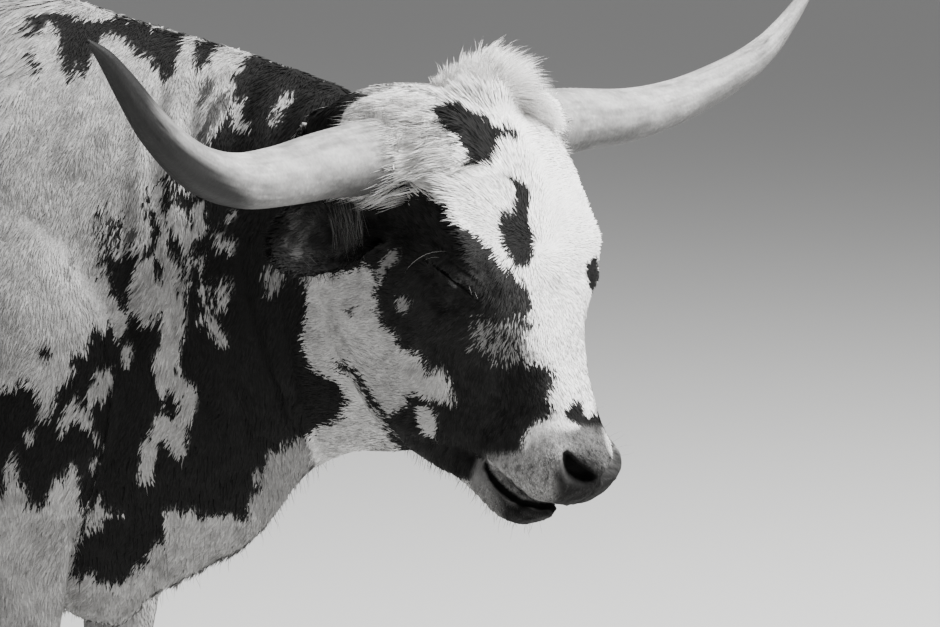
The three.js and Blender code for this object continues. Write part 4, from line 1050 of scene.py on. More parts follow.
points, faces = skin_solids()
skin_mesh = remeshed(points, faces)
x = coords(skin_mesh)
z = zones(x)
x = smooth(x, edges_of(skin_mesh), 0.6 + 0.4 * (1 - z["head"]), 5)
soft = (1 - z["head"]) * ~z["ear"]
x = smooth(x, edges_of(skin_mesh), soft, 14)
set_coords(skin_mesh, x)
spots = [(eye_at(s), 46) for s in (-1, 1)]
spots += [(nostril_at(s), 34) for s in (-1, 1)]
spots += [(head(u, a, -136), 26) for u in (420, 450, 478) for a in (-44, -20, 0, 20, 44)]
refine(skin_mesh, spots)
x = coords(skin_mesh)
z = zones(x)
tri = triangles(skin_mesh)
n = normals(x, tri)
x = x - inset_depth(x, z)[:, None] * n
n = normals(x, tri)
x = x + sculpt(x, n, z)
n = normals(x, tri)
set_coords(skin_mesh, world(x))
skin_mesh.update()
skin_mesh.shade_smooth()
skin_mesh.name = "skin"
print("skin faces", len(skin_mesh.polygons), "triangles", len(tri))


def add_tone(mesh, tone):
    layer = mesh.color_attributes.new("tint", "FLOAT_COLOR", "POINT")
    rgba = np.ones((len(tone), 4), np.float32)
    rgba[:, :3] = tone[:, None] * GREY_WARM
    layer.data.foreach_set("color", rgba.reshape(-1))


add_tone(skin_mesh, paint(x, n, np.full(len(x), -1.0), z))
skin = link("skin", skin_mesh)
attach(skin, "root")
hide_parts("torso", "neck", "head", "ear_left", "ear_right", "tail", "foreleg_left", "foreleg_right",
            "hindleg_left", "hindleg_right")


# Materials.
def material(name, base=(0.5, 0.5, 0.5), roughness=0.6, **sockets):
    mat = bpy.data.materials.new(name)
    mat.use_nodes = True
    nodes, links = mat.node_tree.nodes, mat.node_tree.links
    shader = nodes["Principled BSDF"]
    shader.inputs["Base Color"].default_value = (*base, 1)
    shader.inputs["Roughness"].default_value = roughness
    for key, value in sockets.items():
        shader.inputs[key.replace("_", " ")].default_value = value
    return mat, nodes, links, shader


def noise_node(nodes, links, scale, detail=3, rough=0.55, stretch_by=None):
    node = nodes.new("ShaderNodeTexNoise")
    node.inputs["Scale"].default_value = scale
    node.inputs["Detail"].default_value = detail
    node.inputs["Roughness"].default_value = rough
    place = nodes.new("ShaderNodeTexCoord")
    mapping = nodes.new("ShaderNodeMapping")
    if stretch_by:
        mapping.inputs["Scale"].default_value = stretch_by
    links.new(place.outputs["Object"], mapping.inputs["Vector"])
    links.new(mapping.outputs["Vector"], node.inputs["Vector"])
    return node.outputs["Fac"]


def ranged(nodes, links, value, low, high):
    node = nodes.new("ShaderNodeMapRange")
    node.inputs["To Min"].default_value = low
    node.inputs["To Max"].default_value = high
    links.new(value, node.inputs["Value"])
    return node.outputs["Result"]


def bump(nodes, links, height, shader, distance, strength=1.0, under=None):
    node = nodes.new("ShaderNodeBump")
    node.inputs["Distance"].default_value = distance
    node.inputs["Strength"].default_value = strength
    links.new(height, node.inputs["Height"])
    if under:
        links.new(under, node.inputs["Normal"])
    if shader:
        links.new(node.outputs["Normal"], shader.inputs["Normal"])
    return node.outputs["Normal"]


def grey_of(nodes, links, value):
    shade = nodes.new("ShaderNodeCombineColor")
    for channel in ("Red", "Green", "Blue"):
        links.new(value, shade.inputs[channel])
    return shade.outputs["Color"]


def tinted(nodes, links, shader, vary):
    tint = nodes.new("ShaderNodeAttribute")
    tint.attribute_name = "tint"
    mix = nodes.new("ShaderNodeMix")
    mix.data_type = "RGBA"
    mix.blend_type = "MULTIPLY"
    mix.inputs["Factor"].default_value = 1
    links.new(tint.outputs["Color"], mix.inputs["A"])
    links.new(grey_of(nodes, links, vary), mix.inputs["B"])
    links.new(mix.outputs["Result"], shader.inputs["Base Color"])


def surface(name, roughness, specular, fine, broad, tint, rough, relief, under=None):
    """Tinted material: fine and broad noise, ranges of tint and roughness, and bumps as distance and strength."""
    mat, nodes, links, shader = material(name, roughness=roughness, Specular_IOR_Level=specular)
    fine, broad = noise_node(nodes, links, *fine), noise_node(nodes, links, *broad)
    tinted(nodes, links, shader, ranged(nodes, links, fine, *tint))
    links.new(ranged(nodes, links, broad, *rough), shader.inputs["Roughness"])
    first = bump(nodes, links, broad, None, *under) if under else None
    bump(nodes, links, fine, shader, *relief, first)
    return mat


HIDE = surface("hide", 0.75, 0.03, (420, 3), (38, 3), (0.72, 1.16), (0.62, 0.82), (0.0011, 0.8), (0.002, 0.5))
HAIR = surface("hair", 0.6, 0.04, (900, 2), (60, 2), (0.86, 1.1), (0.5, 0.7), (0.0003, 0.5))
HORN = surface("horn_sheath", 0.5, 0.2, (260, 4), (30, 3), (0.62, 1.34), (0.4, 0.68), (0.0007, 0.6))
HOOF = surface("hoof_wall", 0.5, 0.4, (240, 4, 0.6, (1, 1, 5)), (45, 2), (0.7, 1.25), (0.4, 0.7), (0.0009, 0.7))
skin_mesh.materials.append(HIDE)


# Coat. The hair on the forehead turns round the whorl.
WHORL = vec(206, 0, -5)


def flow_of(p, n, z):
    """Direction in which the hair lies at points p with normals n."""
    q = z["q"]
    back = -unit(np.stack([np.cos(heading(z["s"])), np.sin(heading(z["s"])), 0 * z["s"]], -1))
    down = vec(0, 0, -1)
    fore = ease((z["s"] + 420) / 260)
    flow = back * (0.86 - 0.6 * fore)[:, None] + down * (0.4 + 0.55 * fore)[:, None]
    low = ease((860 - p[:, 2]) / 160)[:, None]
    flow = flow * (1 - low) + (0.3 * back + down) * low
    leg = z["leg"][:, None]
    flow = flow * (1 - leg) + (down + 0.12 * back) * leg
    flow = np.where(z["tail"][:, None], down, flow)
    radial = unit(p - head(*WHORL))
    d = q - WHORL
    swirl = np.cross(np.broadcast_to(OUT, p.shape), radial) * np.exp(-np.linalg.norm(d, axis=1) / 30)[:, None]
    face = radial + 0.9 * swirl
    under = ease((-q[:, 2] - 150) / 60)[:, None] * ease((390 - q[:, 0]) / 60)[:, None]
    face = face * (1 - under) + (-0.5 * DOWN - 0.9 * OUT * 0.5 + 0.2 * down) * under
    lateral = (ease((165 - q[:, 0]) / 80) * ease((np.abs(q[:, 1]) - 22) / 34) * ease((q[:, 2] + 120) / 50))[:, None]
    face = face * (1 - lateral) + (np.sign(q[:, 1:2]) * LEFT - 0.12 * DOWN) * lateral
    h = z["head"][:, None]
    flow = flow * (1 - h) + face * h
    for side in (-1, 1):
        along = ear_frame(side)[1]
        on = z["ear"] & (z["ear_side"] == side)
        flow[on] = along + 0.15 * down
    flow = flow - (flow * n).sum(1)[:, None] * n
    turn = (noise(p, 46, 51) - 0.5) * 0.9 + (noise(p, 14, 52) - 0.5) * 0.5
    flow = unit(flow)
    return unit(flow + turn[:, None] * np.cross(n, flow))


def scatter(weight, rng):
    """Points spread over the skin's triangles, weight per mm2."""
    a, b, c = x[tri[:, 0]], x[tri[:, 1]], x[tri[:, 2]]
    area = np.linalg.norm(np.cross(b - a, c - a), axis=1) / 2
    total = np.concatenate([[0], np.cumsum(area * weight)])
    count = int(total[-1])
    at = (np.arange(count) + rng.random(count)) * total[-1] / count
    i = np.clip(np.searchsorted(total, at, side="right") - 1, 0, len(tri) - 1)
    r1, r2 = np.sqrt(rng.random(count)), rng.random(count)
    w = np.stack([1 - r1, r1 * (1 - r2), r1 * r2], -1)
    p = (x[tri[i]] * w[..., None]).sum(1)
    m = unit((n[tri[i]] * w[..., None]).sum(1))
    return p, m


def region_uv(p, z, name):
    """Place of a root on an unwrap of the skin's own form, 0..1."""
    q = z["q"]
    if name.startswith("head"):
        return np.stack([np.arctan2(q[:, 1], q[:, 2] + 150) / (2 * math.pi) + 0.5, (q[:, 0] + 90) / 620], -1)
    if name.startswith("ear"):
        e = z["ear_at"]
        half = 0.25 + 0.25 * e[:, 1] / 60 + 0.5 * (e[:, 2] > -12)
        return np.stack([half, 0.5 * (e[:, 0] / 190) + 0.5 * (z["ear_side"] > 0)], -1)
    if name.startswith("leg"):
        col = (p[:, 1] > 0) * 0.25 + (p[:, 0] < -500) * 0.5
        line = np.where(p[:, 0] < -500, np.interp(p[:, 2], [r[0] for r in HINDLEG], [r[1] for r in HINDLEG]), 40)
        angle = np.arctan2(np.abs(p[:, 1]) - 143, p[:, 0] - line) / (2 * math.pi) + 0.5
        return np.stack([col + 0.24 * angle, p[:, 2] / 760], -1)
    mid = station(TRUNK, z["s"])[:, 3]
    core = spine(z["s"])
    a = heading(z["s"])
    out = (p[:, 0] - core[:, 0]) * -np.sin(a) + (p[:, 1] - core[:, 1]) * np.cos(a)
    angle = np.arctan2(out, p[:, 2] - mid) / (2 * math.pi) + 0.5
    return np.stack([angle, (z["s"] + 1400) / 2150], -1)


def piece(name, verts, faces, tone, uv, normal=None, mat=None):
    """One joined mesh of tufts: verts in mm (K x V x 3), faces within a tuft, tone per vertex, uv per tuft."""
    k, v = verts.shape[:2]
    all_faces = (faces[None] + (np.arange(k) * v)[:, None, None]).reshape(-1, 3)
    mesh = make_mesh(name, world(verts.reshape(-1, 3)), [all_faces])
    add_tone(mesh, np.clip(tone, 0.008, 0.95).reshape(-1))
    layer = mesh.uv_layers.new(name="OFBake")
    spread = np.stack([np.cos(np.arange(v) * 2.4), np.sin(np.arange(v) * 2.4)], -1) * 0.0015
    place = np.clip(uv, 0.003, 0.997)[:, None] + spread[None]
    place = place.reshape(-1, 2)[all_faces.reshape(-1)]
    layer.data.foreach_set("uv", place.astype(np.float32).reshape(-1))
    if normal is not None:
        mesh.normals_split_custom_set_from_vertices(unit(normal.reshape(-1, 3)))
    mesh.materials.append(mat or HAIR)
    obj = link(name, mesh)
    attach(obj, "root")
    return obj


# A blade: root, left, right, tip; closed, four triangles.
BLADE = np.array([[0, 2, 1], [3, 1, 2], [0, 1, 3], [0, 3, 2]])
LIMIT = 48000


def blades(name, p, m, flow, length, width, lift, tone, z, curl):
    side = np.cross(m, flow)
    d = unit(flow * np.cos(lift)[:, None] + m * np.sin(lift)[:, None])
    mid = p + d * (0.4 * length)[:, None] + side * (curl * length)[:, None] * 0.5 + m * (width * 0.12)[:, None]
    tip = p + flow * (length * np.cos(lift))[:, None] + m * (length * np.sin(lift) * 0.62)[:, None]
    half = (width / 2)[:, None]
    tilt = rng.normal(0, 0.2, len(p))[:, None] * half
    verts = np.stack([p - m * 1.2, mid + side * half + m * tilt, mid - side * half - m * tilt, tip], 1)
    normal = np.stack([m, m + 0.22 * side, m - 0.22 * side, m + 0.12 * flow], 1)
    uv = region_uv(p, z, name)
    # darker at the root and a little lighter at the tip: painted shade down among the hairs, painted light on the tips
    shade = np.stack([tone * 0.74, tone, tone, tone * 1.06], 1)
    parts = max(1, math.ceil(len(p) / LIMIT))
    for i, part in enumerate(np.array_split(np.arange(len(p)), parts)):
        label = f"{name}_{i + 1}" if parts > 1 else name
        piece(label, verts[part], BLADE, shade[part], uv[part], normal[part])


def strand_faces(rings):
    f = [[0, 2, 1]]
    for r in range(rings - 1):
        for s in range(3):
            a, b = 3 * r + s, 3 * r + (s + 1) % 3
            f += [[a, b, b + 3], [a, b + 3, a + 3]]
    top, last = 3 * rings, 3 * (rings - 1)
    f += [[last + s, last + (s + 1) % 3, top] for s in range(3)]
    return np.array(f)


def strands(name, path, width, tone, uv, flat=0.45):
    """path: K x (rings + 1) x 3 centre lines, tapered to the last point."""
    count = path.shape[1]
    rings = count - 1
    d = unit(np.gradient(path, axis=1))
    side = unit(np.cross(d, np.broadcast_to(vec(0.31, 0.2, 0.93), d.shape)))
    up = np.cross(side, d)
    taper = np.interp(np.linspace(0, 1, count), [0, 0.25, 0.7, 1], [0.7, 1, 0.75, 0])[:-1]
    verts = []
    for r in range(rings):
        h = (width / 2 * taper[r])[:, None]
        for s in range(3):
            t = 2 * math.pi * s / 3
            verts.append(path[:, r] + math.cos(t) * h * side[:, r] + math.sin(t) * flat * h * up[:, r])
    verts.append(path[:, -1])
    verts = np.stack(verts, 1)
    # darker at the root, lighter to the tip: painted shade at the roots, painted light on the tips
    light = np.interp(np.linspace(0, 1, verts.shape[1]), [0, 0.3, 1], [0.7, 1, 1.05])
    return piece(name, verts, strand_faces(rings), tone[:, None] * light, uv)


def grow(p, start, steps, length, pull, stiff, rng, jitter=0.15):
    """Centre lines: from p along start, bent by pull(points, step) a little at each step."""
    path = [p]
    d = unit(start)
    step = (length / steps)[:, None]
    for i in range(steps):
        path.append(path[-1] + d * step)
        d = unit(d * stiff + pull(path[-1], i) * (1 - stiff) + jitter * rng.normal(size=p.shape))
    return np.stack(path, 1)


HAIR_SEED = 11
rng = np.random.default_rng(HAIR_SEED)
t_mid = x[tri].mean(1)
t_zone = zones(t_mid)
tq = t_zone["q"]
t_head = (t_zone["head"] > 0.5) & ~t_zone["ear"]
t_face = face_pixel(t_mid, tq)
t_bare = t_head & (tq[:, 0] > 430) & (polygon_depth(t_face, NOSE_DARK) > 0)
t_bare |= t_head & (tq[:, 0] > 430) & (polygon_depth(t_face, NOSTRIL_HOLE) > -4)
t_bare |= t_head & (tq[:, 0] > 385) & (tq[:, 2] < -100) & (polygon_depth(t_face, MOUTH_GAP) > -2)
below, place = line_distance(t_face, EYE_LINE)
for side in (-1, 1):
    by_eye = np.linalg.norm(t_mid - eye_at(side), axis=1) < 60
    t_bare |= by_eye & (np.abs(below) < 2.6) & (place > 0.02) & (place < 0.98)
t_neck = (t_zone["head"] <= 0.5) & (t_zone["s"] > 60) & (t_zone["leg"] < 0.5) & ~t_zone["ear"]
t_leg = (t_zone["leg"] >= 0.5) & ~t_zone["ear"]
t_body = ~t_head & ~t_neck & ~t_leg & ~t_zone["ear"]
t_poll = t_head & (tq[:, 0] < np.clip(-10 + 0.6 * tq[:, 1], -12, 44)) & (tq[:, 2] > -100) & (np.abs(tq[:, 1] - 55) < 52)


def coat(name, mask, density, length, width, lift, vary=0.12):
    """Short coat over the triangles in mask; length, width in mm."""
    p, m = scatter(np.where(mask, density, 0.0), rng)
    z = zones(p)
    q = z["q"]
    k = len(p)
    flow = flow_of(p, m, z)
    side = np.cross(m, flow)
    flow = unit(flow + rng.normal(0, 0.12, k)[:, None] * side)
    size = length * (1 + rng.normal(0, 0.16, k))
    wide = width * (1 + rng.normal(0, 0.14, k))
    if name == "head":
        brow = ease((190 - q[:, 0]) / 120) * ease((q[:, 2] + 70) / 50)
        small = ease((q[:, 0] - 370) / 60)
        size = size * (1 + 1.25 * brow * (1 - 0.8 * ease((q[:, 1] - 5) / 45))) * (1 - 0.68 * small)
        wide = wide * (1 + 0.15 * brow) * (1 - 0.42 * small)
        around = np.full(k, 99.0)
        for s in (-1, 1):
            around = np.minimum(around, np.linalg.norm(p - eye_at(s), axis=1))
        size *= 0.5 + 0.5 * ease((around - 24) / 24)
    angle = lift * (1 + rng.normal(0, 0.25, k)) * RAD
    grizzle = vary + 0.3 * z["muzzle"]
    tone = paint(p, m, rng.random(k), z) * np.maximum(0.2, 1 + rng.normal(0, 1, k) * grizzle)
    blades(name, p, m, flow, size, np.maximum(wide, 0.8), angle, tone, z, rng.normal(0, 0.05, k))


coat("head", t_head & ~t_bare, np.where(tq[:, 0] > 425, 0.6, 0.235), 11, 1.4, 6.5, 0.08)
coat("ear", t_zone["ear"], 0.16, 13, 1.8, 10, 0.12)
coat("neck", t_neck, 0.122, 14, 1.8, 5.5, 0.15)
coat("body", t_body, 0.017, 24, 3.4, 5, 0.13)
coat("leg", t_leg, 0.034, 13, 2.6, 8, 0.12)


# Long hair.
def long_hair(name, mask, count, length, width, start, pull, tone, stiff=0.8, steps=4, jitter=0.12, region=None,
              grade=None):
    """About count strands rooted in mask; start(p, m, z) and pull(p, m, z)(at, step) give directions."""
    a, b, c = x[tri[:, 0]], x[tri[:, 1]], x[tri[:, 2]]
    area = (np.linalg.norm(np.cross(b - a, c - a), axis=1) / 2)[mask].sum()
    p, m = scatter(np.where(mask, count / area, 0.0), rng)
    z = zones(p)
    k = len(p)
    size = length * (1 + rng.normal(0, 0.2, k)) * (grade(z["q"]) if grade else 1)
    path = grow(p - 1.5 * m, start(p, m, z), steps, size, pull(p, m, z), stiff, rng, jitter)
    shade = tone(p, m, z) * (1 + rng.normal(0, 0.1, k))
    return strands(name, path, width * (1 + rng.normal(0, 0.2, k)), shade, region_uv(p, z, region or name))


DROP = vec(0, 0, -1)
CROWN_AT = head(6, 26, -40)


def own_tone(p, m, z):
    return paint(p, m, rng.random(len(p)), z)


# White long hair; the darker streaks between its locks are painted shade, stronger on the near side.
def white_tone(p, m, z):
    near = 0.25 + 0.35 * ease((10 - z["q"][:, 1]) / 40)
    return 0.78 * (1 + near * 1.6 * (noise(z["q"] * vec(1, 0.22, 1), 5, 19) - 0.55))


def poll_start(p, m, z):
    away = p - CROWN_AT
    away = away - (away @ OUT)[:, None] * OUT
    swirl = np.cross(unit(away), OUT)
    return 0.6 * m + 0.75 * unit(away) + 0.15 * swirl - 0.15 * DOWN + 0.2 * LEFT + 0.22 * clump(p, 13)


def poll_pull(p, m, z):
    away = unit(p - CROWN_AT)
    front = ease((z["q"][:, 0] - 4) / 14)[:, None]
    return lambda at, i: unit(
        0.5 * away + (0.05 + 0.2 * i) * DROP + 0.35 * LEFT + 0.6 * clump(at, 12) + 1.2 * front * DOWN
    )


def clump(at, size):
    """Slow wander that neighbouring hairs share."""
    return np.stack([noise(at, size, 71 + k) - 0.5 for k in range(3)], -1) * 2


def horn_start(p, m, z):
    s = np.sign(z["q"][:, 1])[:, None]
    return 0.22 * m + 1.0 * s * LEFT + 0.12 * DROP + 0.35 * clump(p, 14)


def horn_pull(p, m, z):
    s = np.sign(z["q"][:, 1])[:, None]
    return lambda at, i: unit(s * LEFT + 0.22 * DROP - 0.1 * m + 0.25 * clump(at, 12))


def poll_grade(q):
    return (0.45 + 0.55 * ease((q[:, 1] - 4) / 36)) * (1 - 0.35 * ease((q[:, 1] - 66) / 34))


def brow_grade(q):
    return 1 - 0.62 * ease((q[:, 1] - 10) / 60)


t_collar = t_head & (np.abs(tq[:, 1]) > 92) & (np.abs(tq[:, 1]) < 165) & (near_axis(tq) < 66)
t_brow = t_head & (tq[:, 0] > -10) & (tq[:, 0] < 105) & (tq[:, 2] > -75) & (tq[:, 1] < -46) & (tq[:, 1] > -120)
long_hair("poll", t_poll, 3400, 46, 0.75, poll_start, poll_pull, white_tone, 0.72, 5, 0.06, "head", poll_grade)
long_hair("horn_root", t_collar, 3200, 38, 0.9, horn_start, horn_pull, white_tone, 0.7, 3, 0.05, "head", brow_grade)
long_hair("brow", t_brow, 2600, 38, 0.9, horn_start, horn_pull, own_tone, 0.6, 4, 0.05, "head", brow_grade)


# Ear fringe: light hair from the ear's upper edge and root, hanging over its opening.
def ear_start(p, m, z):
    return 0.5 * m + 0.9 * DROP


def ear_pull(p, m, z):
    s = z["ear_side"][:, None]
    return lambda at, i: unit(DROP - 0.22 * s * LEFT + 0.35 * clump(at, 14))


def ear_tone(p, m, z):
    return 0.05 + 0.45 * rng.random(len(p)) ** 3


te = t_zone["ear_at"]
t_fringe = t_zone["ear"] & (te[:, 0] > 26) & (te[:, 0] < 74) & (te[:, 2] > -16) & (te[:, 1] < 8)
long_hair("ear_fringe", t_fringe, 420, 58, 0.9, ear_start, ear_pull, ear_tone, 0.7, 5, 0.1, "ear")
t_rim = t_zone["ear"] & (te[:, 0] > 50) & (np.abs(te[:, 1]) > 22)


def rim_start(p, m, z):
    return m + 0.4 * DROP


long_hair("ear_rim", t_rim, 500, 20, 1.1, rim_start, ear_pull, own_tone, 0.7, 3, 0.2, "ear")


def whiskers(name, rows, width, tone):
    """Single long hairs: each row has the root's pixel, a start and an end direction in the picture, and a length."""
    seen = np.nonzero(((CAM_AT - x) * n).sum(1) > 0)[0]
    at = pixel(x[seen])
    paths, roots = [], []
    for px, py, start, end, length in rows:
        root = seen[np.argmin(np.linalg.norm(at - vec(px, py), axis=1))]
        k = np.linspace(0, 1, 8)[:, None]
        d0 = start[0] * CAM_RIGHT - start[1] * CAM_UP + 0.5 * n[root]
        d1 = end[0] * CAM_RIGHT - end[1] * CAM_UP
        d = unit(unit(d0) * (1 - k) + unit(d1) * k)
        paths.append(x[root] - n[root] + np.concatenate([0 * d[:1], np.cumsum(d[:-1], 0)]) * length / 7)
        roots.append(x[root])
    roots = np.array(roots)
    strands(name, np.array(paths), np.full(len(rows), width), np.full(len(rows), tone),
            region_uv(roots, zones(roots), "head"), 1.0)


whiskers("lashes", [(447, 252, (-1, 0.05), (-0.5, 1), 60), (440, 256, (-1, 0.1), (-0.9, 0.6), 20),
                    (468, 285, (0.3, 0.7), (0.2, 1), 14), (474, 291, (0.3, 0.7), (0.5, 1), 12)], 0.3, 0.3)
whiskers("whiskers", [(616, 440, (1, -0.4), (1, -1), 22), (618, 447, (1, -0.3), (1, 0.2), 24),
    (620, 455, (1, 0), (1, -0.5), 20),
                      (612, 434, (1, -0.7), (1, -0.2), 20), (604, 428, (1, -0.8), (0.6, -0.8), 16),
                      (596, 410, (1, -0.6), (1, -0.1), 14),
                      (500, 521, (-0.5, 1), (0.2, 1), 22), (513, 525, (0, 1), (-0.3, 1), 26),
                      (528, 526, (0.1, 1), (0.5, 1), 20),
                      (540, 524, (0.3, 1), (0.1, 1), 18), (486, 508, (-0.8, 0.8), (-0.2, 1), 20),
                      (478, 495, (-1, 0.6), (-0.6, 1), 18)],
         0.34, 0.3)


# Tail switch, and the loose hair under the throat and brisket.
def down_start(p, m, z):
    return 0.5 * m + DROP


def down_pull(p, m, z):
    return lambda at, i: unit(DROP + 0.12 * m * max(0, 2 - i))


def switch_start(p, m, z):
    return (0.25 + 0.5 * ease((p[:, 2:3] - 620) / 160)) * m + DROP


def switch_tone(p, m, z):
    return 0.05 + 0.5 * ease((noise(p * vec(1, 1, 0.1), 10, 45) - 0.3) / 0.4)


t_switch = t_zone["tail"] & (t_mid[:, 2] < 880)
long_hair("switch", t_switch, 1500, 185, 2.4, switch_start, down_pull, switch_tone, 0.6, 6, 0.07, "tail")
t_under = (t_neck | t_body) & (n[tri].mean(1)[:, 2] < -0.35) & (t_mid[:, 0] > -150) & (t_mid[:, 2] < 1000)
long_hair("dewlap", t_under, 1500, 26, 1.2, down_start, down_pull, own_tone, 0.7, 3, 0.16, "neck")
t_chin = t_head & (tq[:, 0] > 330) & (tq[:, 2] < -165)
long_hair("chin", t_chin, 350, 16, 0.8, down_start, down_pull, own_tone, 0.7, 3, 0.2, "head")


# Horns.
SKEW = np.array(Matrix.Rotation(0.7, 3, (0.3, 0.8, 0.5)))


def horn(name, table, side):
    count, sides = 230, 72
    p = curve([head(r[0], side * r[1], r[2]) for r in table], count)
    f = np.linspace(0, len(table) - 1, count)
    r = np.interp(f, range(len(table)), [t[3] for t in table]) * HEAD_SCALE
    d = unit(np.gradient(p, axis=0))
    across = unit(np.cross(np.broadcast_to(OUT, d.shape), d))
    up = np.cross(d, across)
    t = np.arange(sides) * 2 * math.pi / sides
    run = np.concatenate([[0], np.cumsum(np.linalg.norm(np.diff(p, axis=0), axis=1))])
    flat = np.stack(np.broadcast_arrays(90 * np.cos(t)[None], 90 * np.sin(t)[None], run[:, None]), -1)
    flat = flat.reshape(-1, 3)
    grain = noise(flat * vec(1, 1, 0.06), 6, 61) - 0.5
    broad = noise(flat * vec(1, 1, 0.3), 60, 62) - 0.5
    ring = np.sin((run[:, None] + 5 * broad.reshape(count, sides)) * 2 * math.pi / 11)
    near_root = np.exp(-run / 130)[:, None]
    thin = np.abs(noise(flat * vec(1, 1, 0.16), 17, 63) - 0.5)
    crack = (ease((0.018 - thin) / 0.018) * ease((noise(flat, 42, 64) - 0.62) / 0.1)).reshape(count, sides)
    stain = noise(flat @ SKEW * vec(1, 0.6, 1), 24, 65) - 0.5 + 0.6 * (noise(flat @ SKEW, 8, 68) - 0.5)
    bulk = (0.9 * grain + 1.6 * broad).reshape(count, sides) + 0.5 * ring * near_root - 0.9 * crack
    fade = np.minimum(1, r / 20)[:, None]
    ring_at = p[:, None] + ((r[:, None] * 1.03 + bulk * fade) * np.cos(t))[..., None] * across[:, None]
    ring_at = ring_at + ((r[:, None] * 0.97 + bulk * fade) * np.sin(t))[..., None] * up[:, None]
    points, quads, caps = loft(ring_at)
    body = points[:-2]
    out = unit(body - np.repeat(p, sides, 0))
    at = pixel(body)
    # under: how far the horn's surface faces down; the underside is painted darker as shade
    under = ease(-out[:, 2] + 0.3)
    if side < 0:
        past = (at - HORN_DARK[0]) @ HORN_DARK[1] + 26 * broad + 9 * grain
        wrong = 1 - ease(0.5 + past / 30) * ease((275 - at[:, 0]) / 40)
        wrong *= 1 - ease((190 - at[:, 0] + 20 * broad + 8 * grain) / 40)
        pale = 0.27 - 0.15 * under - 0.07 * under * ease((at[:, 0] - 310) / 50)
        tone = pale + (0.009 - pale) * (1 - wrong)
    else:
        tip = ease((np.repeat(run, sides) - run[-1] + 130) / 110)
        tone = 0.27 - 0.19 * under - 0.1 * tip * (0.8 + 1.2 * grain)
    scuff = ease((noise(flat @ SKEW, 5, 66) - 0.55) / 0.3) * ease((noise(flat, 50, 67) - 0.4) / 0.2)
    tone = tone * (1 + 0.5 * broad + 0.3 * grain + 0.65 * stain) * (1 - 0.65 * crack.reshape(-1))
    tone = tone * (1 + 0.35 * scuff)
    # darker close to the root, under the hair: painted shade
    tone *= 1 - 0.12 * np.exp(-np.repeat(run, sides) / 25)
    mesh = make_mesh(name, world(points), [quads, caps])
    add_tone(mesh, np.clip(np.concatenate([tone, tone[:1], tone[-1:]]), 0.006, 0.9))
    mesh.materials.append(HORN)
    obj = link(name, mesh)
    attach(obj, "root")
    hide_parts("horn_left" if side > 0 else "horn_right")


HORN_DARK = (vec(217, 168), unit(vec(-0.697, 0.717)))
horn("horn_fine_right", HORN_RIGHT, -1)
horn("horn_fine_left", HORN_LEFT, 1)


# Hooves.
CLAW = [[0, -30, 118, 46], [8, -30, 116, 46], [30, -32, 102, 44], [54, -36, 84, 41], [74, -38, 72, 38]]


def claw(name, node, at_x, at_y, side):
    h = np.linspace(0, 74, 40)
    back, length, width = station(CLAW, h).T
    t = np.arange(56) * 2 * math.pi / 56
    fore, across = np.cos(t)[None], np.sin(t)[None]
    px = (back + length / 2)[:, None] + (length / 2)[:, None] * fore
    taper = 1 - 0.34 * ease((fore - 0.1) / 1.1) - 0.12 * ease((-fore - 0.3) / 0.9)
    inner = np.where(across * side < 0, 0.9, 1.04)
    w = (width / 2)[:, None] * across * taper * inner - side * 5 * ease((fore - 0.3) / 0.9)
    ridge = 0.55 * np.sin(h * 2 * math.pi / 8.5)[:, None] * ease(h / 8)[:, None] - 0.6
    pts = np.stack([at_x + px + ridge * fore, at_y + w + ridge * across, h[:, None] + 0 * px], -1)
    points, quads, caps = loft(pts)
    mesh = make_mesh(name, world(points), [quads, caps])
    band = (
        0.09 + 0.014 * np.sin(points[:, 2] / 74 * 19) + 0.07 * ease((points[:, 2] - 52) / 20)
        + 0.05 * (noise(points, 16, 46) - 0.5)
    )
    add_tone(mesh, band)
    mesh.materials.append(HOOF)
    obj = link(name, mesh)
    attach(obj, "root")
    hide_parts(node)


for table, side, offset in LEGS:
    end = "fore" if table is FORELEG else "hind"
    hand = "left" if side > 0 else "right"
    foot, _, _ = leg_line(table, side, offset, np.array([76.0]))
    for where, push in (("inner", -1), ("outer", 1)):
        y = side * (foot[0, 1] * side + push * 25)
        claw(f"claw_{end}_{hand}_{where}", f"hoof_{end}_{hand}_{where}", foot[0, 0], y, side * push)


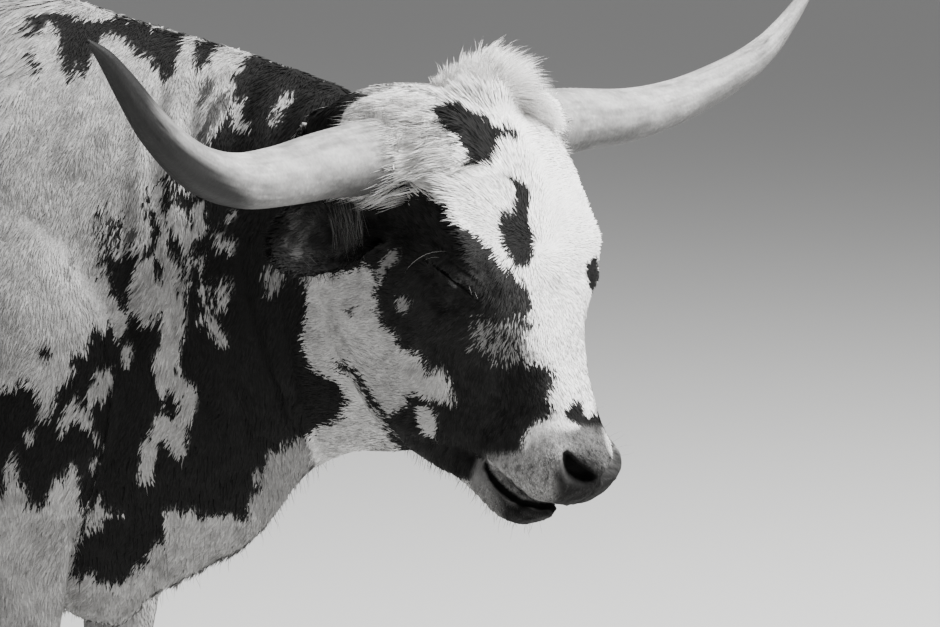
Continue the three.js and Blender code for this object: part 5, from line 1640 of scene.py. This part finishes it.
# Eyes.
def eye_material():
    mat, nodes, links, shader = material("eye_wet", (0.012, 0.011, 0.01), 0.3, Specular_IOR_Level=0.3)
    broad = noise_node(nodes, links, 160, 3)
    value = ranged(nodes, links, broad, 0.004, 0.03)
    links.new(grey_of(nodes, links, value), shader.inputs["Base Color"])
    links.new(ranged(nodes, links, broad, 0.18, 0.34), shader.inputs["Roughness"])
    bump(nodes, links, broad, shader, 0.0002, 0.2)
    return mat


EYE_WET = eye_material()
for name in ("eye_left", "eye_right"):
    for holder in frame["nodes"][name].material_slots:
        holder.material = EYE_WET


# Floor, light and sky.
SKY_LEVEL = 0.38
KEY_SIZE, KEY_POWER = 1.9, 720
TOP_SIZE, TOP_POWER = 3.2, 190
FLOOR_SIZE = 60


def floor():
    bm = bmesh.new()
    bmesh.ops.create_grid(bm, x_segments=4, y_segments=4, size=FLOOR_SIZE)
    mesh = bpy.data.meshes.new("floor")
    bm.to_mesh(mesh)
    bm.free()
    obj = link("floor", mesh)
    obj.location = (0, 0, -0.0005)
    mat, nodes, links, shader = material("floor", (0.62, 0.62, 0.61), 0.85)
    links.new(ranged(nodes, links, noise_node(nodes, links, 6), 0.8, 0.92), shader.inputs["Roughness"])
    mesh.materials.append(mat)


def light(name, place, target, size, power):
    data = bpy.data.lights.new(name, "AREA")
    data.shape = "DISK"
    data.size = size
    data.energy = power
    obj = link(name, data)
    obj.location = Vector(place)
    obj.rotation_euler = (Vector(target) - Vector(place)).to_track_quat("-Z", "Y").to_euler()


floor()
sky = bpy.data.worlds.new("sky")
sky.use_nodes = True
sky.node_tree.nodes["Background"].inputs["Color"].default_value = (0.8, 0.8, 0.81, 1)
sky.node_tree.nodes["Background"].inputs["Strength"].default_value = SKY_LEVEL
bpy.context.scene.world = sky
aim = world(head(150, 0, -60))
light("key", aim + (CAM_RIGHT * 2.9 - CAM_VIEW * 0.35 + vec(0, 0, 2.7)), aim, KEY_SIZE, KEY_POWER)
light("top", aim + vec(-1.0, -0.3, 3.4), world(vec(0, 0, 1100)), TOP_SIZE, TOP_POWER)
